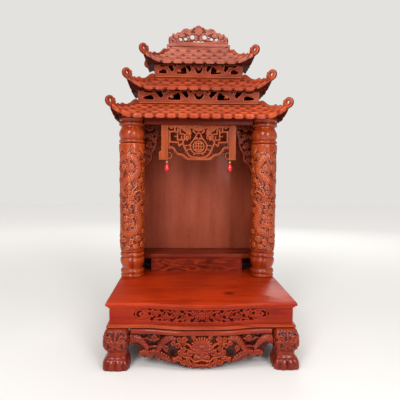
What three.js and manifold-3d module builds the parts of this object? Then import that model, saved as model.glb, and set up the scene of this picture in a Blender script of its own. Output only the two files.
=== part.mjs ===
// Household altar cabinet: a low carved base on lion-paw legs, a niche between two dragon
// columns, and a three-tiered roof with pierced galleries and a crest. Millimetres, +Z up.
// The front faces -Y, and the origin lies on the floor under the middle of the piece.
import * as THREE from 'three';
import { mergeVertices } from 'three/addons/utils/BufferGeometryUtils.js';
import Module from 'manifold-3d';

const wasm = await Module();
wasm.setup();

// ---- driving dimensions ------------------------------------------------------------------
const GAP = 0.3;              // joint left between pieces that touch

// base
const LEG_X = 238.3;          // leg centre from the middle, to each side
const LEG_Y = 241.7;          // leg centre from the middle, to front and back
const LEG_TOP = 112.4;
const RAIL_Z = 96.5;          // underside of the rail along the top of each apron
const MOULD_Z = 112.7;
const MOULD_TOP = 122.4;
const MOULD_X = 266;
const MOULD_FRONT = 258;
const BOARD_X = 257.8;        // outer faces of the base boards
const BOARD_FRONT = 250;
const BOARD_THICK = 14;
const BOARD_Z = 122.7;
const BOARD_TOP = 169.7;
const TABLE_X = 267.5;
const TABLE_FRONT = 259;
const TABLE_BACK = 264;
const TABLE_Z = 170;
const TABLE_TOP = 186;
const BOW = 17;               // how far the middle of the front swells forward
const BOW_FLAT = 50;          // half-width of the full swell
const BOW_END = 165;          // where the swell dies out

// niche
const COLUMN_X = 229.3;
const COLUMN_Y = 51;
const COLUMN_TOP = 736;
const PANEL_THICK = 12;
const PANEL_X = 234;          // outer face of the side panels
const BACK_Y = 236;           // front face of the back panel
const STEP_X = 167.5;
const STEP_Y = 111;
const STEP_TOP = 233.4;
const STEP_BOARD_TOP = 250.5;
const CEILING_TOP = 742.3;
const CEILING_REAR = 236;     // short of the soffit's slope

// roofs, all about one centre line
const ROOF_Y = 113;
const GALLERY_THICK = 12;
const HIP_THICK = 12;
const LOWER = {
  name: 'lower', galleryX: 207, galleryY: 77, top: 782, eaveX: 281, eaveY: 145, eave: 736, bottom: 724,
  soffit: CEILING_TOP + GAP, lift: 27, flare: 5, curve: 1.05, liftCurve: 2.2,
};
const MIDDLE = {
  name: 'middle', galleryX: 153.5, galleryY: 44, top: 877, eaveX: 229, eaveY: 114, eave: 829, bottom: 820,
  soffit: 826, lift: 29, flare: 8, curve: 1.5, liftCurve: 1.5,
};
const TOP = {
  name: 'top', galleryX: 96, galleryY: 9, top: 992.5, eaveX: 177, eaveY: 82, eave: 924, bottom: 915,
  soffit: 921, lift: 23, flare: 8, curve: 1.9, liftCurve: 1.5,
};
const RIDGE_X = 104;
const RIDGE_TOP = 1006;
const CAP_TOP = 1001;
const CREST_X = 106;
const CREST_TOP = 1068.3;

// ---- materials ---------------------------------------------------------------------------
const hardwood = new THREE.MeshStandardMaterial({ color: 0xa83a16, roughness: 0.35, metalness: 0 });
const palerWood = new THREE.MeshStandardMaterial({ color: 0xb9502c, roughness: 0.38, metalness: 0 });
const panelWood = new THREE.MeshStandardMaterial({ color: 0x7f3c28, roughness: 0.42, metalness: 0 });
const redLacquer = new THREE.MeshStandardMaterial({ color: 0xd81a18, roughness: 0.15, metalness: 0 });
const goldMetal = new THREE.MeshStandardMaterial({ color: 0xd8a860, roughness: 0.3, metalness: 0.9 });

// ---- small helpers -----------------------------------------------------------------------
const altar = new THREE.Group();

function add(name, geometry, material) {
  const piece = new THREE.Mesh(geometry, material);
  piece.name = name;
  altar.add(piece);
  return piece;
}

function bare(geometry) {
  const copy = geometry.clone();
  copy.deleteAttribute('normal');
  copy.deleteAttribute('uv');
  return mergeVertices(copy, 1e-3);
}

// turns the faces of a closed shape outwards
function outward(geometry) {
  const shape = bare(geometry);
  const p = shape.attributes.position;
  const index = shape.index.array;
  const a = new THREE.Vector3();
  const b = new THREE.Vector3();
  const c = new THREE.Vector3();
  let volume = 0;
  for (let i = 0; i < index.length; i += 3) {
    a.fromBufferAttribute(p, index[i]);
    b.fromBufferAttribute(p, index[i + 1]);
    c.fromBufferAttribute(p, index[i + 2]);
    volume += a.dot(b.cross(c));
  }
  if (volume < 0) {
    for (let i = 0; i < index.length; i += 3) {
      [index[i], index[i + 1]] = [index[i + 1], index[i]];
    }
  }
  shape.computeVertexNormals();
  return shape;
}

// skins a stack of rings that all have the same number of points; the ends are capped, or
// with closed set the last ring joins the first, as around a picture frame
function loft(rings, closed = false) {
  const count = rings[0].length;
  const vertices = rings.flat().flatMap((v) => [v.x, v.y, v.z]);
  const faces = [];
  const last = closed ? rings.length : rings.length - 1;
  for (let j = 0; j < last; j += 1) {
    for (let i = 0; i < count; i += 1) {
      const a = j * count + i;
      const b = j * count + ((i + 1) % count);
      const c = ((j + 1) % rings.length) * count + ((i + 1) % count);
      const d = ((j + 1) % rings.length) * count + i;
      faces.push(a, b, c, a, c, d);
    }
  }
  if (!closed) {
    const cap = (ring, start, flip) => {
      const flat = ring.map((v) => new THREE.Vector2(v.x, v.y));
      for (const [a, b, c] of THREE.ShapeUtils.triangulateShape(flat, [])) {
        if (flip) {
          faces.push(start + c, start + b, start + a);
        } else {
          faces.push(start + a, start + b, start + c);
        }
      }
    };
    cap(rings[0], 0, true);
    cap(rings[rings.length - 1], (rings.length - 1) * count, false);
  }
  const geometry = new THREE.BufferGeometry();
  geometry.setAttribute('position', new THREE.Float32BufferAttribute(vertices, 3));
  geometry.setIndex(faces);
  return outward(geometry);
}

function box(x0, x1, y0, y1, z0, z1) {
  const block = new THREE.BoxGeometry(x1 - x0, y1 - y0, z1 - z0);
  return block.translate((x0 + x1) / 2, (y0 + y1) / 2, (z0 + z1) / 2);
}

// a board cut to an outline of [x, z] points, standing upright with its face towards -Y
function uprightBoard(points, thickness, front) {
  const corners = points.map(([x, z]) => new THREE.Vector2(x, z));
  const shape = new THREE.Shape(corners);
  const board = new THREE.ExtrudeGeometry(shape, { depth: thickness, bevelEnabled: false });
  return outward(board.rotateX(Math.PI / 2).translate(0, front + thickness, 0));
}

function solid(geometry) {
  const shape = bare(geometry);
  const mesh = new wasm.Mesh({
    numProp: 3,
    vertProperties: new Float32Array(shape.attributes.position.array),
    triVerts: new Uint32Array(shape.index.array),
  });
  return new wasm.Manifold(mesh);
}

function skinOf(whole) {
  const mesh = whole.getMesh();
  const geometry = new THREE.BufferGeometry();
  geometry.setAttribute('position', new THREE.Float32BufferAttribute(mesh.vertProperties, 3));
  geometry.setIndex([...mesh.triVerts]);
  return outward(geometry);
}

function joined(geometries) {
  return skinOf(geometries.map(solid).reduce((sum, next) => sum.add(next)));
}

// sawn right through from front to back along each outline in holes
function pierced(geometry, holes) {
  const reach = 1000;
  const cutters = holes.map((points) => solid(uprightBoard(points, 2 * reach, -reach)));
  return skinOf(cutters.reduce((left, cutter) => left.subtract(cutter), solid(geometry)));
}

// only what lies inside the outline is kept
function sawn(geometry, points) {
  const reach = 1000;
  return skinOf(solid(geometry).intersect(solid(uprightBoard(points, 2 * reach, -reach))));
}

// outline from points given for the right half only, mirrored to the left
function mirrored(rightHalf) {
  const left = rightHalf.filter(([x]) => x > 0).map(([x, z]) => [-x, z]).reverse();
  return [...rightHalf, ...left];
}

function ellipse(cx, cz, rx, rz, count, turn = 0) {
  const points = [];
  for (let i = 0; i < count; i += 1) {
    const angle = turn + (i / count) * 2 * Math.PI;
    points.push([cx + rx * Math.cos(angle), cz + rz * Math.sin(angle)]);
  }
  return points;
}

// the serpentine swell of the front: 0 near the corners, BOW across the middle
function swell(x) {
  const t = THREE.MathUtils.clamp((BOW_END - Math.abs(x)) / (BOW_END - BOW_FLAT), 0, 1);
  return BOW * t * t * (3 - 2 * t);
}

// ---- base ----------------------------------------------------------------------------------
const SWELL_STEPS = [-165, -140, -115, -85, -50, 50, 85, 115, 140, 165];

// plan of a base tier, counter-clockwise, with the swollen front
function plan(halfX, front, back, z) {
  const ring = [new THREE.Vector3(-halfX, -front, z)];
  for (const x of SWELL_STEPS) {
    ring.push(new THREE.Vector3(x, -front - swell(x), z));
  }
  ring.push(new THREE.Vector3(halfX, -front, z));
  ring.push(new THREE.Vector3(halfX, back, z));
  ring.push(new THREE.Vector3(-halfX, back, z));
  return ring;
}

// an upright slab of even thickness that follows the swell of the front
function swollenSlab(halfX, front, thickness, z0, z1) {
  const section = [-halfX, ...SWELL_STEPS, halfX].map((x) => [x, -front - swell(x)]);
  const rear = [...section].reverse().map(([x, y]) => [x, y + thickness]);
  return loft([z0, z1].map((z) => [...section, ...rear].map(([x, y]) => new THREE.Vector3(x, y, z))));
}

// a flat tier with a moulded edge: each step gives height and how far the edge is set in
function tier(steps, halfX, front, back) {
  return steps.map(([z, inset]) => plan(halfX - inset, front - inset, back - inset, z));
}

function tabletop() {
  const steps = [[TABLE_Z, 6], [TABLE_Z + 5, 4.5], [TABLE_Z + 7, 0], [TABLE_TOP - 3, 0], [TABLE_TOP, 2.5]];
  add('tabletop', loft(tier(steps, TABLE_X, TABLE_FRONT, TABLE_BACK)), hardwood);
}

function baseMoulding() {
  const outer = [[MOULD_Z, 5], [MOULD_Z + 3, 0], [MOULD_Z + 6.5, 0], [MOULD_TOP, 5]];
  const rings = tier(outer, MOULD_X, MOULD_FRONT, MOULD_X - 2);
  const width = 30;
  const inner = [[MOULD_TOP, width], [MOULD_Z, width]];
  rings.push(...tier(inner, MOULD_X, MOULD_FRONT, MOULD_X - 2));
  add('base_moulding', loft(rings, true), palerWood);
}

const CARTOUCHE = { x: 191, z0: 134, z1: 167.2, strand: 4 };

// one strand of a scrolling vine: a wavy ribbon that runs the length of the opening
function vine(fromX, toX, middle, swing, waves, phase) {
  const steps = 3 * waves;
  const upper = [];
  const lower = [];
  for (let i = 0; i <= steps; i += 1) {
    const t = i / steps;
    const x = THREE.MathUtils.lerp(fromX, toX, t);
    const z = middle + swing * Math.sin(phase + t * waves * Math.PI);
    upper.push([x, z + CARTOUCHE.strand]);
    lower.push([x, z - CARTOUCHE.strand]);
  }
  return [...lower, ...upper.reverse()];
}

function baseBoardFront() {
  const { x, z0, z1 } = CARTOUCHE;
  const middle = (z0 + z1) / 2;
  const end = x - 18;
  const opening = [
    [x, middle], [x - 8, z1 - 3], [end, z1], [-end, z1], [-x + 8, z1 - 3],
    [-x, middle], [-x + 8, z0 + 3], [-end, z0], [end, z0], [x - 8, z0 + 3],
  ];
  const board = swollenSlab(BOARD_X, BOARD_FRONT, BOARD_THICK, BOARD_Z, BOARD_TOP);
  const carving = () => swollenSlab(BOARD_X, BOARD_FRONT - 2, BOARD_THICK - 4, BOARD_Z, BOARD_TOP);
  const ground = swollenSlab(BOARD_X, BOARD_FRONT - 9, BOARD_THICK - 9, BOARD_Z, BOARD_TOP);
  const pieces = [pierced(board, [opening]), ground];
  for (const side of [-1, 1]) {
    const centre = side * (end + 1);
    const curl = sawn(carving(), ellipse(centre, middle, 15.5, 15.5, 8));
    pieces.push(pierced(curl, [ellipse(centre, middle, 10.5, 10.5, 6)]));
    pieces.push(sawn(carving(), ellipse(centre, middle, 5, 5, 5)));
    pieces.push(sawn(carving(), ellipse(side * (end - 6), middle, 8, 2, 4)));
  }
  for (const swing of [13, -13]) {
    pieces.push(sawn(carving(), vine(-end + 12, end - 12, middle, swing, 4, 0.4)));
  }
  const flower = [];
  for (let i = 0; i < 8; i += 1) {
    const angle = (i / 8) * 2 * Math.PI;
    const reach = i % 2 ? 7 : 14;
    flower.push([reach * Math.cos(angle), middle + reach * Math.sin(angle)]);
  }
  pieces.push(sawn(carving(), flower));
  add('base_board_front', joined(pieces), hardwood);
}

function baseBoards() {
  baseBoardFront();
  const front = -BOARD_FRONT + BOARD_THICK + GAP;
  const back = BOARD_FRONT;
  const inner = BOARD_X - BOARD_THICK;
  add('base_board_left', box(-BOARD_X, -inner, front, back, BOARD_Z, BOARD_TOP), hardwood);
  add('base_board_right', box(inner, BOARD_X, front, back, BOARD_Z, BOARD_TOP), hardwood);
  const span = inner - GAP;
  add('base_board_rear', box(-span, span, back - BOARD_THICK, back, BOARD_Z, BOARD_TOP), hardwood);
}

// legs: height, half-width, and how far the section leans out from the leg centre
const LEG_STEPS = [
  [0, 36, 0], [7, 38.3, 0], [17, 38, 0], [27, 34, -0.5], [33, 29.5, -2], [48, 28.5, -2.5],
  [58, 34, 0], [72, 36.6, 0.4], [93, 35.8, 0.2], [104, 33, -1], [LEG_TOP, 29, -3],
];

// cross-section of a leg: a rounded square whose faces swell into toes or curls
function legSection(step, sideX, sideY, count, carved) {
  const [z, half, lean] = step;
  const ring = [];
  for (let i = 0; i < count; i += 1) {
    const angle = ((i + 0.5) / count) * 2 * Math.PI;
    const c = Math.cos(angle);
    const s = Math.sin(angle);
    const round = 5;
    const reach = 1 / (Math.abs(c) ** round + Math.abs(s) ** round) ** (1 / round);
    const toes = z < 30 ? 0.05 * Math.cos(6 * angle + Math.PI) : 0;
    const curls = z > 55 && z < LEG_TOP ? 0.05 * Math.sin(3 * angle + z / 9) : 0;
    const carve = carved ? 1 - Math.abs(toes) * 0.5 + Math.min(curls, 0) : 1;
    const r = half * reach * carve;
    const x = sideX * (LEG_X + lean) + r * c;
    const y = sideY * (LEG_Y + lean) + r * s;
    ring.push(new THREE.Vector3(x, y, z));
  }
  return ring;
}

function legs() {
  for (const [row, sideY, count, carved] of [['front', -1, 12, true], ['rear', 1, 8, false]]) {
    for (const [side, sideX] of [['left', -1], ['right', 1]]) {
      const rings = LEG_STEPS.map((step) => legSection(step, sideX, sideY, count, carved));
      add(`leg_${row}_${side}`, loft(rings), hardwood);
    }
  }
}

const APRON_X = LEG_X - 36.6 - 2;      // the apron ends at the knees
const APRON_FRONT = 254;
const APRON_THICK = 14;
const APRON_EDGE = [
  [0, 3.5], [22, 4.5], [36, 8], [57, 10], [70, 18], [106, 20], [122, 26], [132, 36], [145, 28.5],
  [160, 28], [172, 35], [176, 46], [183, 62], [191, 69], [APRON_X, 66], [APRON_X, RAIL_Z + 1],
];

// a scaly body that arches across the apron: a tapered tube along a bent line
function serpent(side, points, radius) {
  const path = new THREE.CatmullRomCurve3(points.map(([x, z]) => new THREE.Vector3(side * x, 0, z)));
  const steps = 4;
  const sides = 5;
  const rings = [];
  for (let j = 0; j <= steps; j += 1) {
    const centre = path.getPointAt(j / steps);
    const along = path.getTangentAt(j / steps);
    const across = new THREE.Vector3(along.z, 0, -along.x);
    const ring = [];
    for (let i = 0; i < sides; i += 1) {
      const angle = (i / sides) * 2 * Math.PI;
      const point = centre.clone().addScaledVector(across, radius * Math.cos(angle));
      point.y += -APRON_FRONT - swell(centre.x) + 2 + radius * 0.8 * Math.sin(angle);
      ring.push(point);
    }
    rings.push(ring);
  }
  return tube(rings);
}

// skins rings that stand at any slant, with a fan over each end
function tube(rings) {
  const count = rings[0].length;
  const vertices = rings.flat().flatMap((v) => [v.x, v.y, v.z]);
  const faces = [];
  for (let j = 0; j < rings.length - 1; j += 1) {
    for (let i = 0; i < count; i += 1) {
      const a = j * count + i;
      const b = j * count + ((i + 1) % count);
      faces.push(a, b, b + count, a, b + count, a + count);
    }
  }
  const end = (rings.length - 1) * count;
  for (let i = 1; i < count - 1; i += 1) {
    faces.push(0, i + 1, i, end, end + i, end + i + 1);
  }
  const geometry = new THREE.BufferGeometry();
  geometry.setAttribute('position', new THREE.Float32BufferAttribute(vertices, 3));
  geometry.setIndex(faces);
  return outward(geometry);
}

// a bead or boss: a few-sided ball squashed to rx, ry and rz
function boss(x, y, z, rx, ry, rz, wide = 5, high = 4) {
  return new THREE.SphereGeometry(1, wide, high).scale(rx, ry, rz).translate(x, y, z);
}

// the lion mask in the middle of the front apron
function lionMask() {
  const face = -APRON_FRONT - BOW;
  const pieces = [
    boss(0, face + 4, 52, 44, 11, 44, 8, 5),
    boss(0, face + 1, 86, 30, 9, 22, 8, 4),
    boss(0, face - 1, 50, 15, 9, 12),
    boss(0, face + 2, 17, 24, 8, 14, 8, 4),
  ];
  for (const side of [-1, 1]) {
    pieces.push(boss(side * 21, face - 1, 64, 10, 8, 9));
    pieces.push(boss(side * 27, face + 1, 34, 14, 8, 10));
    pieces.push(boss(side * 50, face + 6, 52, 14, 8, 12));
    pieces.push(boss(side * 52, face + 7, 76, 13, 8, 11));
  }
  return pieces;
}

function apronFront() {
  const holes = [];
  for (const side of [-1, 1]) {
    const shapes = [
      [[150, 66], [142, 77], [126, 77], [117, 67], [124, 62], [143, 61]],
      [[88, 42], [86, 54], [74, 56], [68, 46], [74, 36], [83, 35]],
      [[170, 92], [156, 95], [150, 88], [160, 86]],
      [[114, 93], [97, 95], [97, 86], [108, 84]],
    ];
    holes.push(...shapes.map((points) => points.map(([x, z]) => [side * x, z])));
  }
  const slab = swollenSlab(APRON_X, APRON_FRONT, APRON_THICK, 0, RAIL_Z + 1);
  const pieces = [
    pierced(sawn(slab, mirrored(APRON_EDGE)), holes),
    swollenSlab(APRON_X, APRON_FRONT + 3, APRON_THICK + 3, RAIL_Z, LEG_TOP),
    ...lionMask(),
  ];
  for (const side of [-1, 1]) {
    pieces.push(serpent(side, [[194, 82], [180, 89], [164, 84], [152, 68], [146, 54]], 12.5));
    pieces.push(serpent(side, [[112, 46], [108, 62], [98, 77], [84, 84], [70, 80]], 11));
    for (const [x, z, r] of [[158, 41, 14], [118, 38, 12], [133, 90, 8]]) {
      pieces.push(boss(side * x, -APRON_FRONT - swell(x) + 1, z, r, 7, r));
    }
  }
  add('apron_front', joined(pieces), hardwood);
}

// plainer aprons on the other three sides: a shaped board with a rail
function apronPlain(name, half, face, turn) {
  const edge = [
    [0, 58], [40, 52], [70, 40], [95, 34], [120, 42], [140, 32], [160, 40], [176, 60], [half, 66],
    [half, LEG_TOP],
  ];
  const board = uprightBoard(mirrored(edge), APRON_THICK, -face);
  const rail = box(-half, half, -face - 3, -face + APRON_THICK, RAIL_Z, LEG_TOP);
  add(name, joined([board, rail]).rotateZ(turn), hardwood);
}

function aprons() {
  apronFront();
  const halfY = LEG_Y - 38.6;
  apronPlain('apron_right', halfY, LEG_X + 18, Math.PI / 2);
  apronPlain('apron_left', halfY, LEG_X + 18, -Math.PI / 2);
  apronPlain('apron_rear', APRON_X, LEG_Y + 12, Math.PI);
}

// ---- niche ---------------------------------------------------------------------------------
// turned profile of a column: height above the tabletop, radius
const COLUMN_FOOT = [
  [0, 39.8], [5, 39.8], [10, 37], [20, 40.4], [29, 34.4], [44, 40.4], [58, 42], [68, 37.6], [78, 41.5], [87, 38.2],
];
const COLUMN_HEAD = [
  [430, 41.6], [459, 42.6], [462, 38.6], [468, 43.9], [475, 38.6], [486, 43], [497, 43.2], [518, 35.6], [525, 43.4],
  [536, 39.2], [544, 42.8],
];
const SHAFT_RADIUS = 39.6;
const SHAFT_RELIEF = 3.6;
const SHAFT_FROM = 94;
const SHAFT_TO = 420;

// how far the carved dragon stands proud at a height and angle: its body coils up the shaft
function dragonRelief(height, angle, side) {
  const turns = 1.9;
  const t = (height - SHAFT_FROM) / (SHAFT_TO - SHAFT_FROM);
  const body = t * turns * 2 * Math.PI * side - Math.PI / 2;
  const away = Math.abs(((((angle - body) % (2 * Math.PI)) + 3 * Math.PI) % (2 * Math.PI)) - Math.PI);
  return SHAFT_RELIEF * Math.max(0, Math.cos(Math.min(away * 1.5, Math.PI / 2))) ** 0.6;
}

function columnRing(height, radius, relief) {
  const count = 12;
  const ring = [];
  for (let i = 0; i < count; i += 1) {
    const angle = (i / count) * 2 * Math.PI;
    const r = radius + relief(angle);
    ring.push(new THREE.Vector3(r * Math.cos(angle), r * Math.sin(angle), height));
  }
  return ring;
}

function columns() {
  const none = () => 0;
  for (const [name, side] of [['column_left', -1], ['column_right', 1]]) {
    const rings = COLUMN_FOOT.map(([height, radius]) => columnRing(height, radius, none));
    const steps = 9;
    for (let j = 0; j <= steps; j += 1) {
      const height = THREE.MathUtils.lerp(SHAFT_FROM, SHAFT_TO, j / steps);
      rings.push(columnRing(height, SHAFT_RADIUS, (angle) => dragonRelief(height, angle, side)));
    }
    rings.push(...COLUMN_HEAD.map(([height, radius]) => columnRing(height, radius, none)));
    rings.push(columnRing(COLUMN_TOP - TABLE_TOP - GAP, 41, none));
    const column = loft(rings).translate(side * COLUMN_X, COLUMN_Y, TABLE_TOP + GAP);
    add(name, column, hardwood);
  }
}

function panels() {
  const z0 = TABLE_TOP + GAP;
  const inner = PANEL_X - PANEL_THICK;
  const columnFront = COLUMN_Y + 44.5;
  add('side_panel_left', box(-PANEL_X, -inner, columnFront, BACK_Y - GAP, z0, COLUMN_TOP), panelWood);
  add('side_panel_right', box(inner, PANEL_X, columnFront, BACK_Y - GAP, z0, COLUMN_TOP), panelWood);
  add('back_panel', box(-PANEL_X, PANEL_X, BACK_Y, BACK_Y + PANEL_THICK, z0, COLUMN_TOP), panelWood);
  const ceilingZ = COLUMN_TOP + GAP;
  add('ceiling_board', box(-258, 258, 6, CEILING_REAR, ceilingZ, CEILING_TOP), panelWood);
}

function step() {
  const z0 = TABLE_TOP + GAP;
  const wall = 12;
  const rear = BACK_Y - GAP;
  const footprint = new THREE.Shape([
    new THREE.Vector2(-STEP_X, STEP_Y), new THREE.Vector2(STEP_X, STEP_Y), new THREE.Vector2(STEP_X, rear),
    new THREE.Vector2(STEP_X - wall, rear), new THREE.Vector2(STEP_X - wall, STEP_Y + wall),
    new THREE.Vector2(-STEP_X + wall, STEP_Y + wall), new THREE.Vector2(-STEP_X + wall, rear),
    new THREE.Vector2(-STEP_X, rear),
  ]);
  const riser = new THREE.ExtrudeGeometry(footprint, { depth: STEP_TOP - z0, bevelEnabled: false });
  add('step_riser', riser.translate(0, 0, z0), hardwood);
  const half = PANEL_X - PANEL_THICK - GAP;
  const board = box(-half, half, STEP_Y - 2, rear, STEP_TOP + GAP, STEP_BOARD_TOP);
  add('step_board', board, hardwood);
}

// ---- hangings of the niche -------------------------------------------------------------
const SCREEN_Y = 34;          // front face of the lambrequin
const SCREEN_THICK = 12;
const POST_X = 116;
const POST_HALF = 12.3;
const POST_BOTTOM = 590.5;
const LINTEL_Z = 711;

function lambrequin() {
  const half = POST_X - POST_HALF - GAP;
  const edge = [
    [0, 591], [25, 591], [40, 602], [52, 614], [66, 614], [80, 620], [88, 632], [half - 4, 635], [half, 640],
    [half, LINTEL_Z - GAP],
  ];
  const holes = [ellipse(0, 637, 28, 29, 10)];
  for (const side of [-1, 1]) {
    const shapes = [
      [[98, 706], [86, 706], [86, 694], [98, 694]],
      [[95, 686], [84, 686], [84, 658], [95, 658]],
      [[77, 702], [60, 698], [64, 684], [78, 690]],
      [[74, 680], [62, 672], [64, 662], [74, 662]],
      [[50, 702], [38, 704], [32, 684], [42, 684]],
      [[54, 672], [46, 676], [38, 650], [50, 644]],
      [[68, 654], [60, 652], [58, 626], [68, 632]],
      [[46, 638], [35, 630], [30, 606], [42, 614]],
      [[24, 688], [14, 696], [14, 674], [22, 672]],
    ];
    holes.push(...shapes.map((points) => points.map(([x, z]) => [side * x, z])));
  }
  const pieces = [
    pierced(uprightBoard(mirrored(edge), SCREEN_THICK, SCREEN_Y), holes),
    uprightBoard(ellipse(0, 636, 21, 21, 10), SCREEN_THICK - 3, SCREEN_Y + 1),
    uprightBoard([[-29, 654], [29, 654], [29, 658], [-29, 658]], SCREEN_THICK - 4, SCREEN_Y + 2),
    uprightBoard([[-2, 606], [2, 606], [2, 670], [-2, 670]], SCREEN_THICK - 4, SCREEN_Y + 2),
  ];
  add('lambrequin', joined(pieces), palerWood);
}

function posts() {
  for (const [name, side] of [['left', -1], ['right', 1]]) {
    const toe = 8;
    const foot = side < 0 ? [[POST_HALF, POST_BOTTOM + 30], [POST_HALF + toe, POST_BOTTOM + 27]] : [];
    const footX = side < 0 ? POST_HALF + toe : POST_HALF;
    const points = [
      [-POST_HALF, POST_BOTTOM], [-POST_HALF, LINTEL_Z - GAP], [POST_HALF, LINTEL_Z - GAP], ...foot,
      [footX, POST_BOTTOM],
    ];
    const post = uprightBoard(points.map(([x, z]) => [side * (POST_X + x), z]), 18, SCREEN_Y - 4);
    const loopX = side * (POST_X - POST_HALF - 4.5);
    const loop = uprightBoard(ellipse(loopX, POST_BOTTOM + 15, 9, 13, 8), 10, SCREEN_Y + 1);
    const curl = pierced(loop, [ellipse(loopX, POST_BOTTOM + 15, 5.5, 8, 6)]);
    add(`lambrequin_post_${name}`, joined([post, curl]), palerWood);
    const x = side * 108.5;
    const y = SCREEN_Y + 5;
    const bead = [[0, -9.4], [3.2, -8.6], [4.2, -5.5], [2, -1.8], [2, 0], [0, 0]];
    const bulb = [
      [0, -42], [3.6, -39.5], [8.4, -31], [9.6, -24], [8, -16.5], [3, -9.8], [0, -9.8],
    ];
    for (const [kind, profile, material] of [['bead', bead, goldMetal], ['bulb', bulb, redLacquer]]) {
      const turned = new THREE.LatheGeometry(profile.map(([r, z]) => new THREE.Vector2(r, z)), 6);
      const hung = turned.rotateX(Math.PI / 2).translate(x, y, POST_BOTTOM - GAP);
      add(`drop_${kind}_${name}`, outward(hung), material);
    }
  }
}

// the rail across the top of the niche, which the screen and its posts hang from
function lintel() {
  const half = COLUMN_X - 43.5;
  add('lintel', box(-half, half, SCREEN_Y - 2, SCREEN_Y + 20, LINTEL_Z, COLUMN_TOP), hardwood);
}

// openwork brackets in the upper corners of the niche, tapering down each column
function brackets() {
  for (const [name, side] of [['bracket_left', -1], ['bracket_right', 1]]) {
    const outer = 220;
    const edge = [
      [outer, 540], [outer - 14, 546], [outer - 30, 552], [outer - 34, 566], [outer - 56, 576], [outer - 62, 600],
      [outer - 58, 616], [outer - 76, 640], [outer - 78, 668], [outer - 86, 690], [outer - 86, COLUMN_TOP],
      [outer, COLUMN_TOP],
    ];
    const openings = [
      [outer - 17, 572, 8, 10], [outer - 18, 604, 9, 13], [outer - 44, 602, 10, 12], [outer - 20, 646, 10, 14],
      [outer - 52, 646, 12, 12], [outer - 22, 694, 12, 16], [outer - 58, 696, 14, 16],
    ];
    const board = uprightBoard(edge.map(([x, z]) => [side * x, z]), 12, COLUMN_Y + 50);
    const holes = openings.map(([x, z, rx, rz]) => ellipse(side * x, z, rx, rz, 5));
    add(name, pierced(board, holes), palerWood);
  }
}

// ---- roofs ---------------------------------------------------------------------------------
const ROOF_RINGS = [0, 0.3, 0.65, 1];
const CORNER_STEPS = [0, 26, 64];      // distances from a corner where its upturn is shaped

function roofDirection(roof) {
  const run = new THREE.Vector2(roof.eaveX - roof.galleryX, roof.eaveY - roof.galleryY);
  return { run, unit: run.clone().normalize() };
}

// height of the roof's skin at a share t of the way from the gallery to the eave
function skinHeight(roof, t) {
  return roof.eave + (roof.top - roof.eave) * (1 - t) ** roof.curve;
}

// the upturn at a corner of the ring at t, and how much of it is left at a distance from it
function upturn(roof, t) {
  return roof.lift * t ** roof.liftCurve;
}

function fade(distance) {
  const reach = CORNER_STEPS[CORNER_STEPS.length - 1];
  return Math.max(0, 1 - distance / reach) ** 1.7;
}

// one ring of a roof at share t, at a height below the skin or at a given level
function roofRing(roof, t, inset, heightOf) {
  const { run, unit } = roofDirection(roof);
  const flare = roof.flare * t * t;
  const halfX = roof.galleryX + run.x * t - inset;
  const halfY = roof.galleryY + run.y * t - inset;
  const corner = new THREE.Vector2(halfX + flare * unit.x, halfY + flare * unit.y);
  const strip = HIP_THICK / 2 + GAP;
  const ring = [];
  const side = (sx, sy, alongX) => {
    const half = alongX ? halfX : halfY;
    const straight = alongX ? halfY : halfX;
    const start = alongX ? corner.x - strip * unit.y : corner.y - strip * unit.x;
    const turned = alongX ? corner.y + strip * unit.x : corner.x + strip * unit.y;
    const squeeze = Math.min(1, (0.92 * half) / CORNER_STEPS[CORNER_STEPS.length - 1]);
    const station = (d, sign) => {
      const share = fade(d);
      const along = sign * THREE.MathUtils.lerp(start, 0, (d * squeeze) / half);
      const out = THREE.MathUtils.lerp(straight, turned, share);
      const x = alongX ? along : sx * out;
      const y = alongX ? sy * out : along;
      ring.push(new THREE.Vector3(x, ROOF_Y + y, heightOf(share)));
    };
    // each side is walked so that the whole ring runs one way round
    const first = alongX ? sy : -sx;
    CORNER_STEPS.forEach((d) => station(d, first));
    [...CORNER_STEPS].reverse().forEach((d) => station(d, -first));
  };
  side(1, -1, true);
  side(1, 1, false);
  side(1, 1, true);
  side(-1, 1, false);
  return ring;
}

// rings of a roof from the top of its skin down to the eave, back under the lip, and along
// the soffit to the hollow in the middle
function roofRings(roof, soffitShare, hollow) {
  const rings = ROOF_RINGS.map((t) => (
    roofRing(roof, t, 0, (share) => skinHeight(roof, t) + upturn(roof, t) * share)
  ));
  const under = (t, inset, level, left) => roofRing(roof, t, inset, (share) => level + roof.lift * left * share);
  rings.push(under(1, 2, roof.bottom, 1));
  rings.push(under(1, 6, roof.bottom + 3, 0.95));
  rings.push(under(0.87, 0, (roof.bottom + 3 * roof.soffit) / 4, 0.5));
  rings.push(under(soffitShare, 0, roof.soffit, 0));
  return [...rings, ...hollow.map(([inset, level]) => under(0, inset, level, 0))];
}

function roofs() {
  const wall = GALLERY_THICK + 4;
  for (const [roof, share] of [[LOWER, 0.72], [MIDDLE, 0.7]]) {
    const hollow = [[wall, roof.soffit], [wall, roof.top]];
    add(`${roof.name}_roof`, loft(roofRings(roof, share, hollow), true), palerWood);
  }
  const inside = GALLERY_THICK - (MIDDLE.galleryX - TOP.galleryX);
  const cavity = [[inside, TOP.soffit], [-6, TOP.top - 16]];
  add('top_roof', loft(roofRings(TOP, 0.75, cavity)), palerWood);
}

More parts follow.
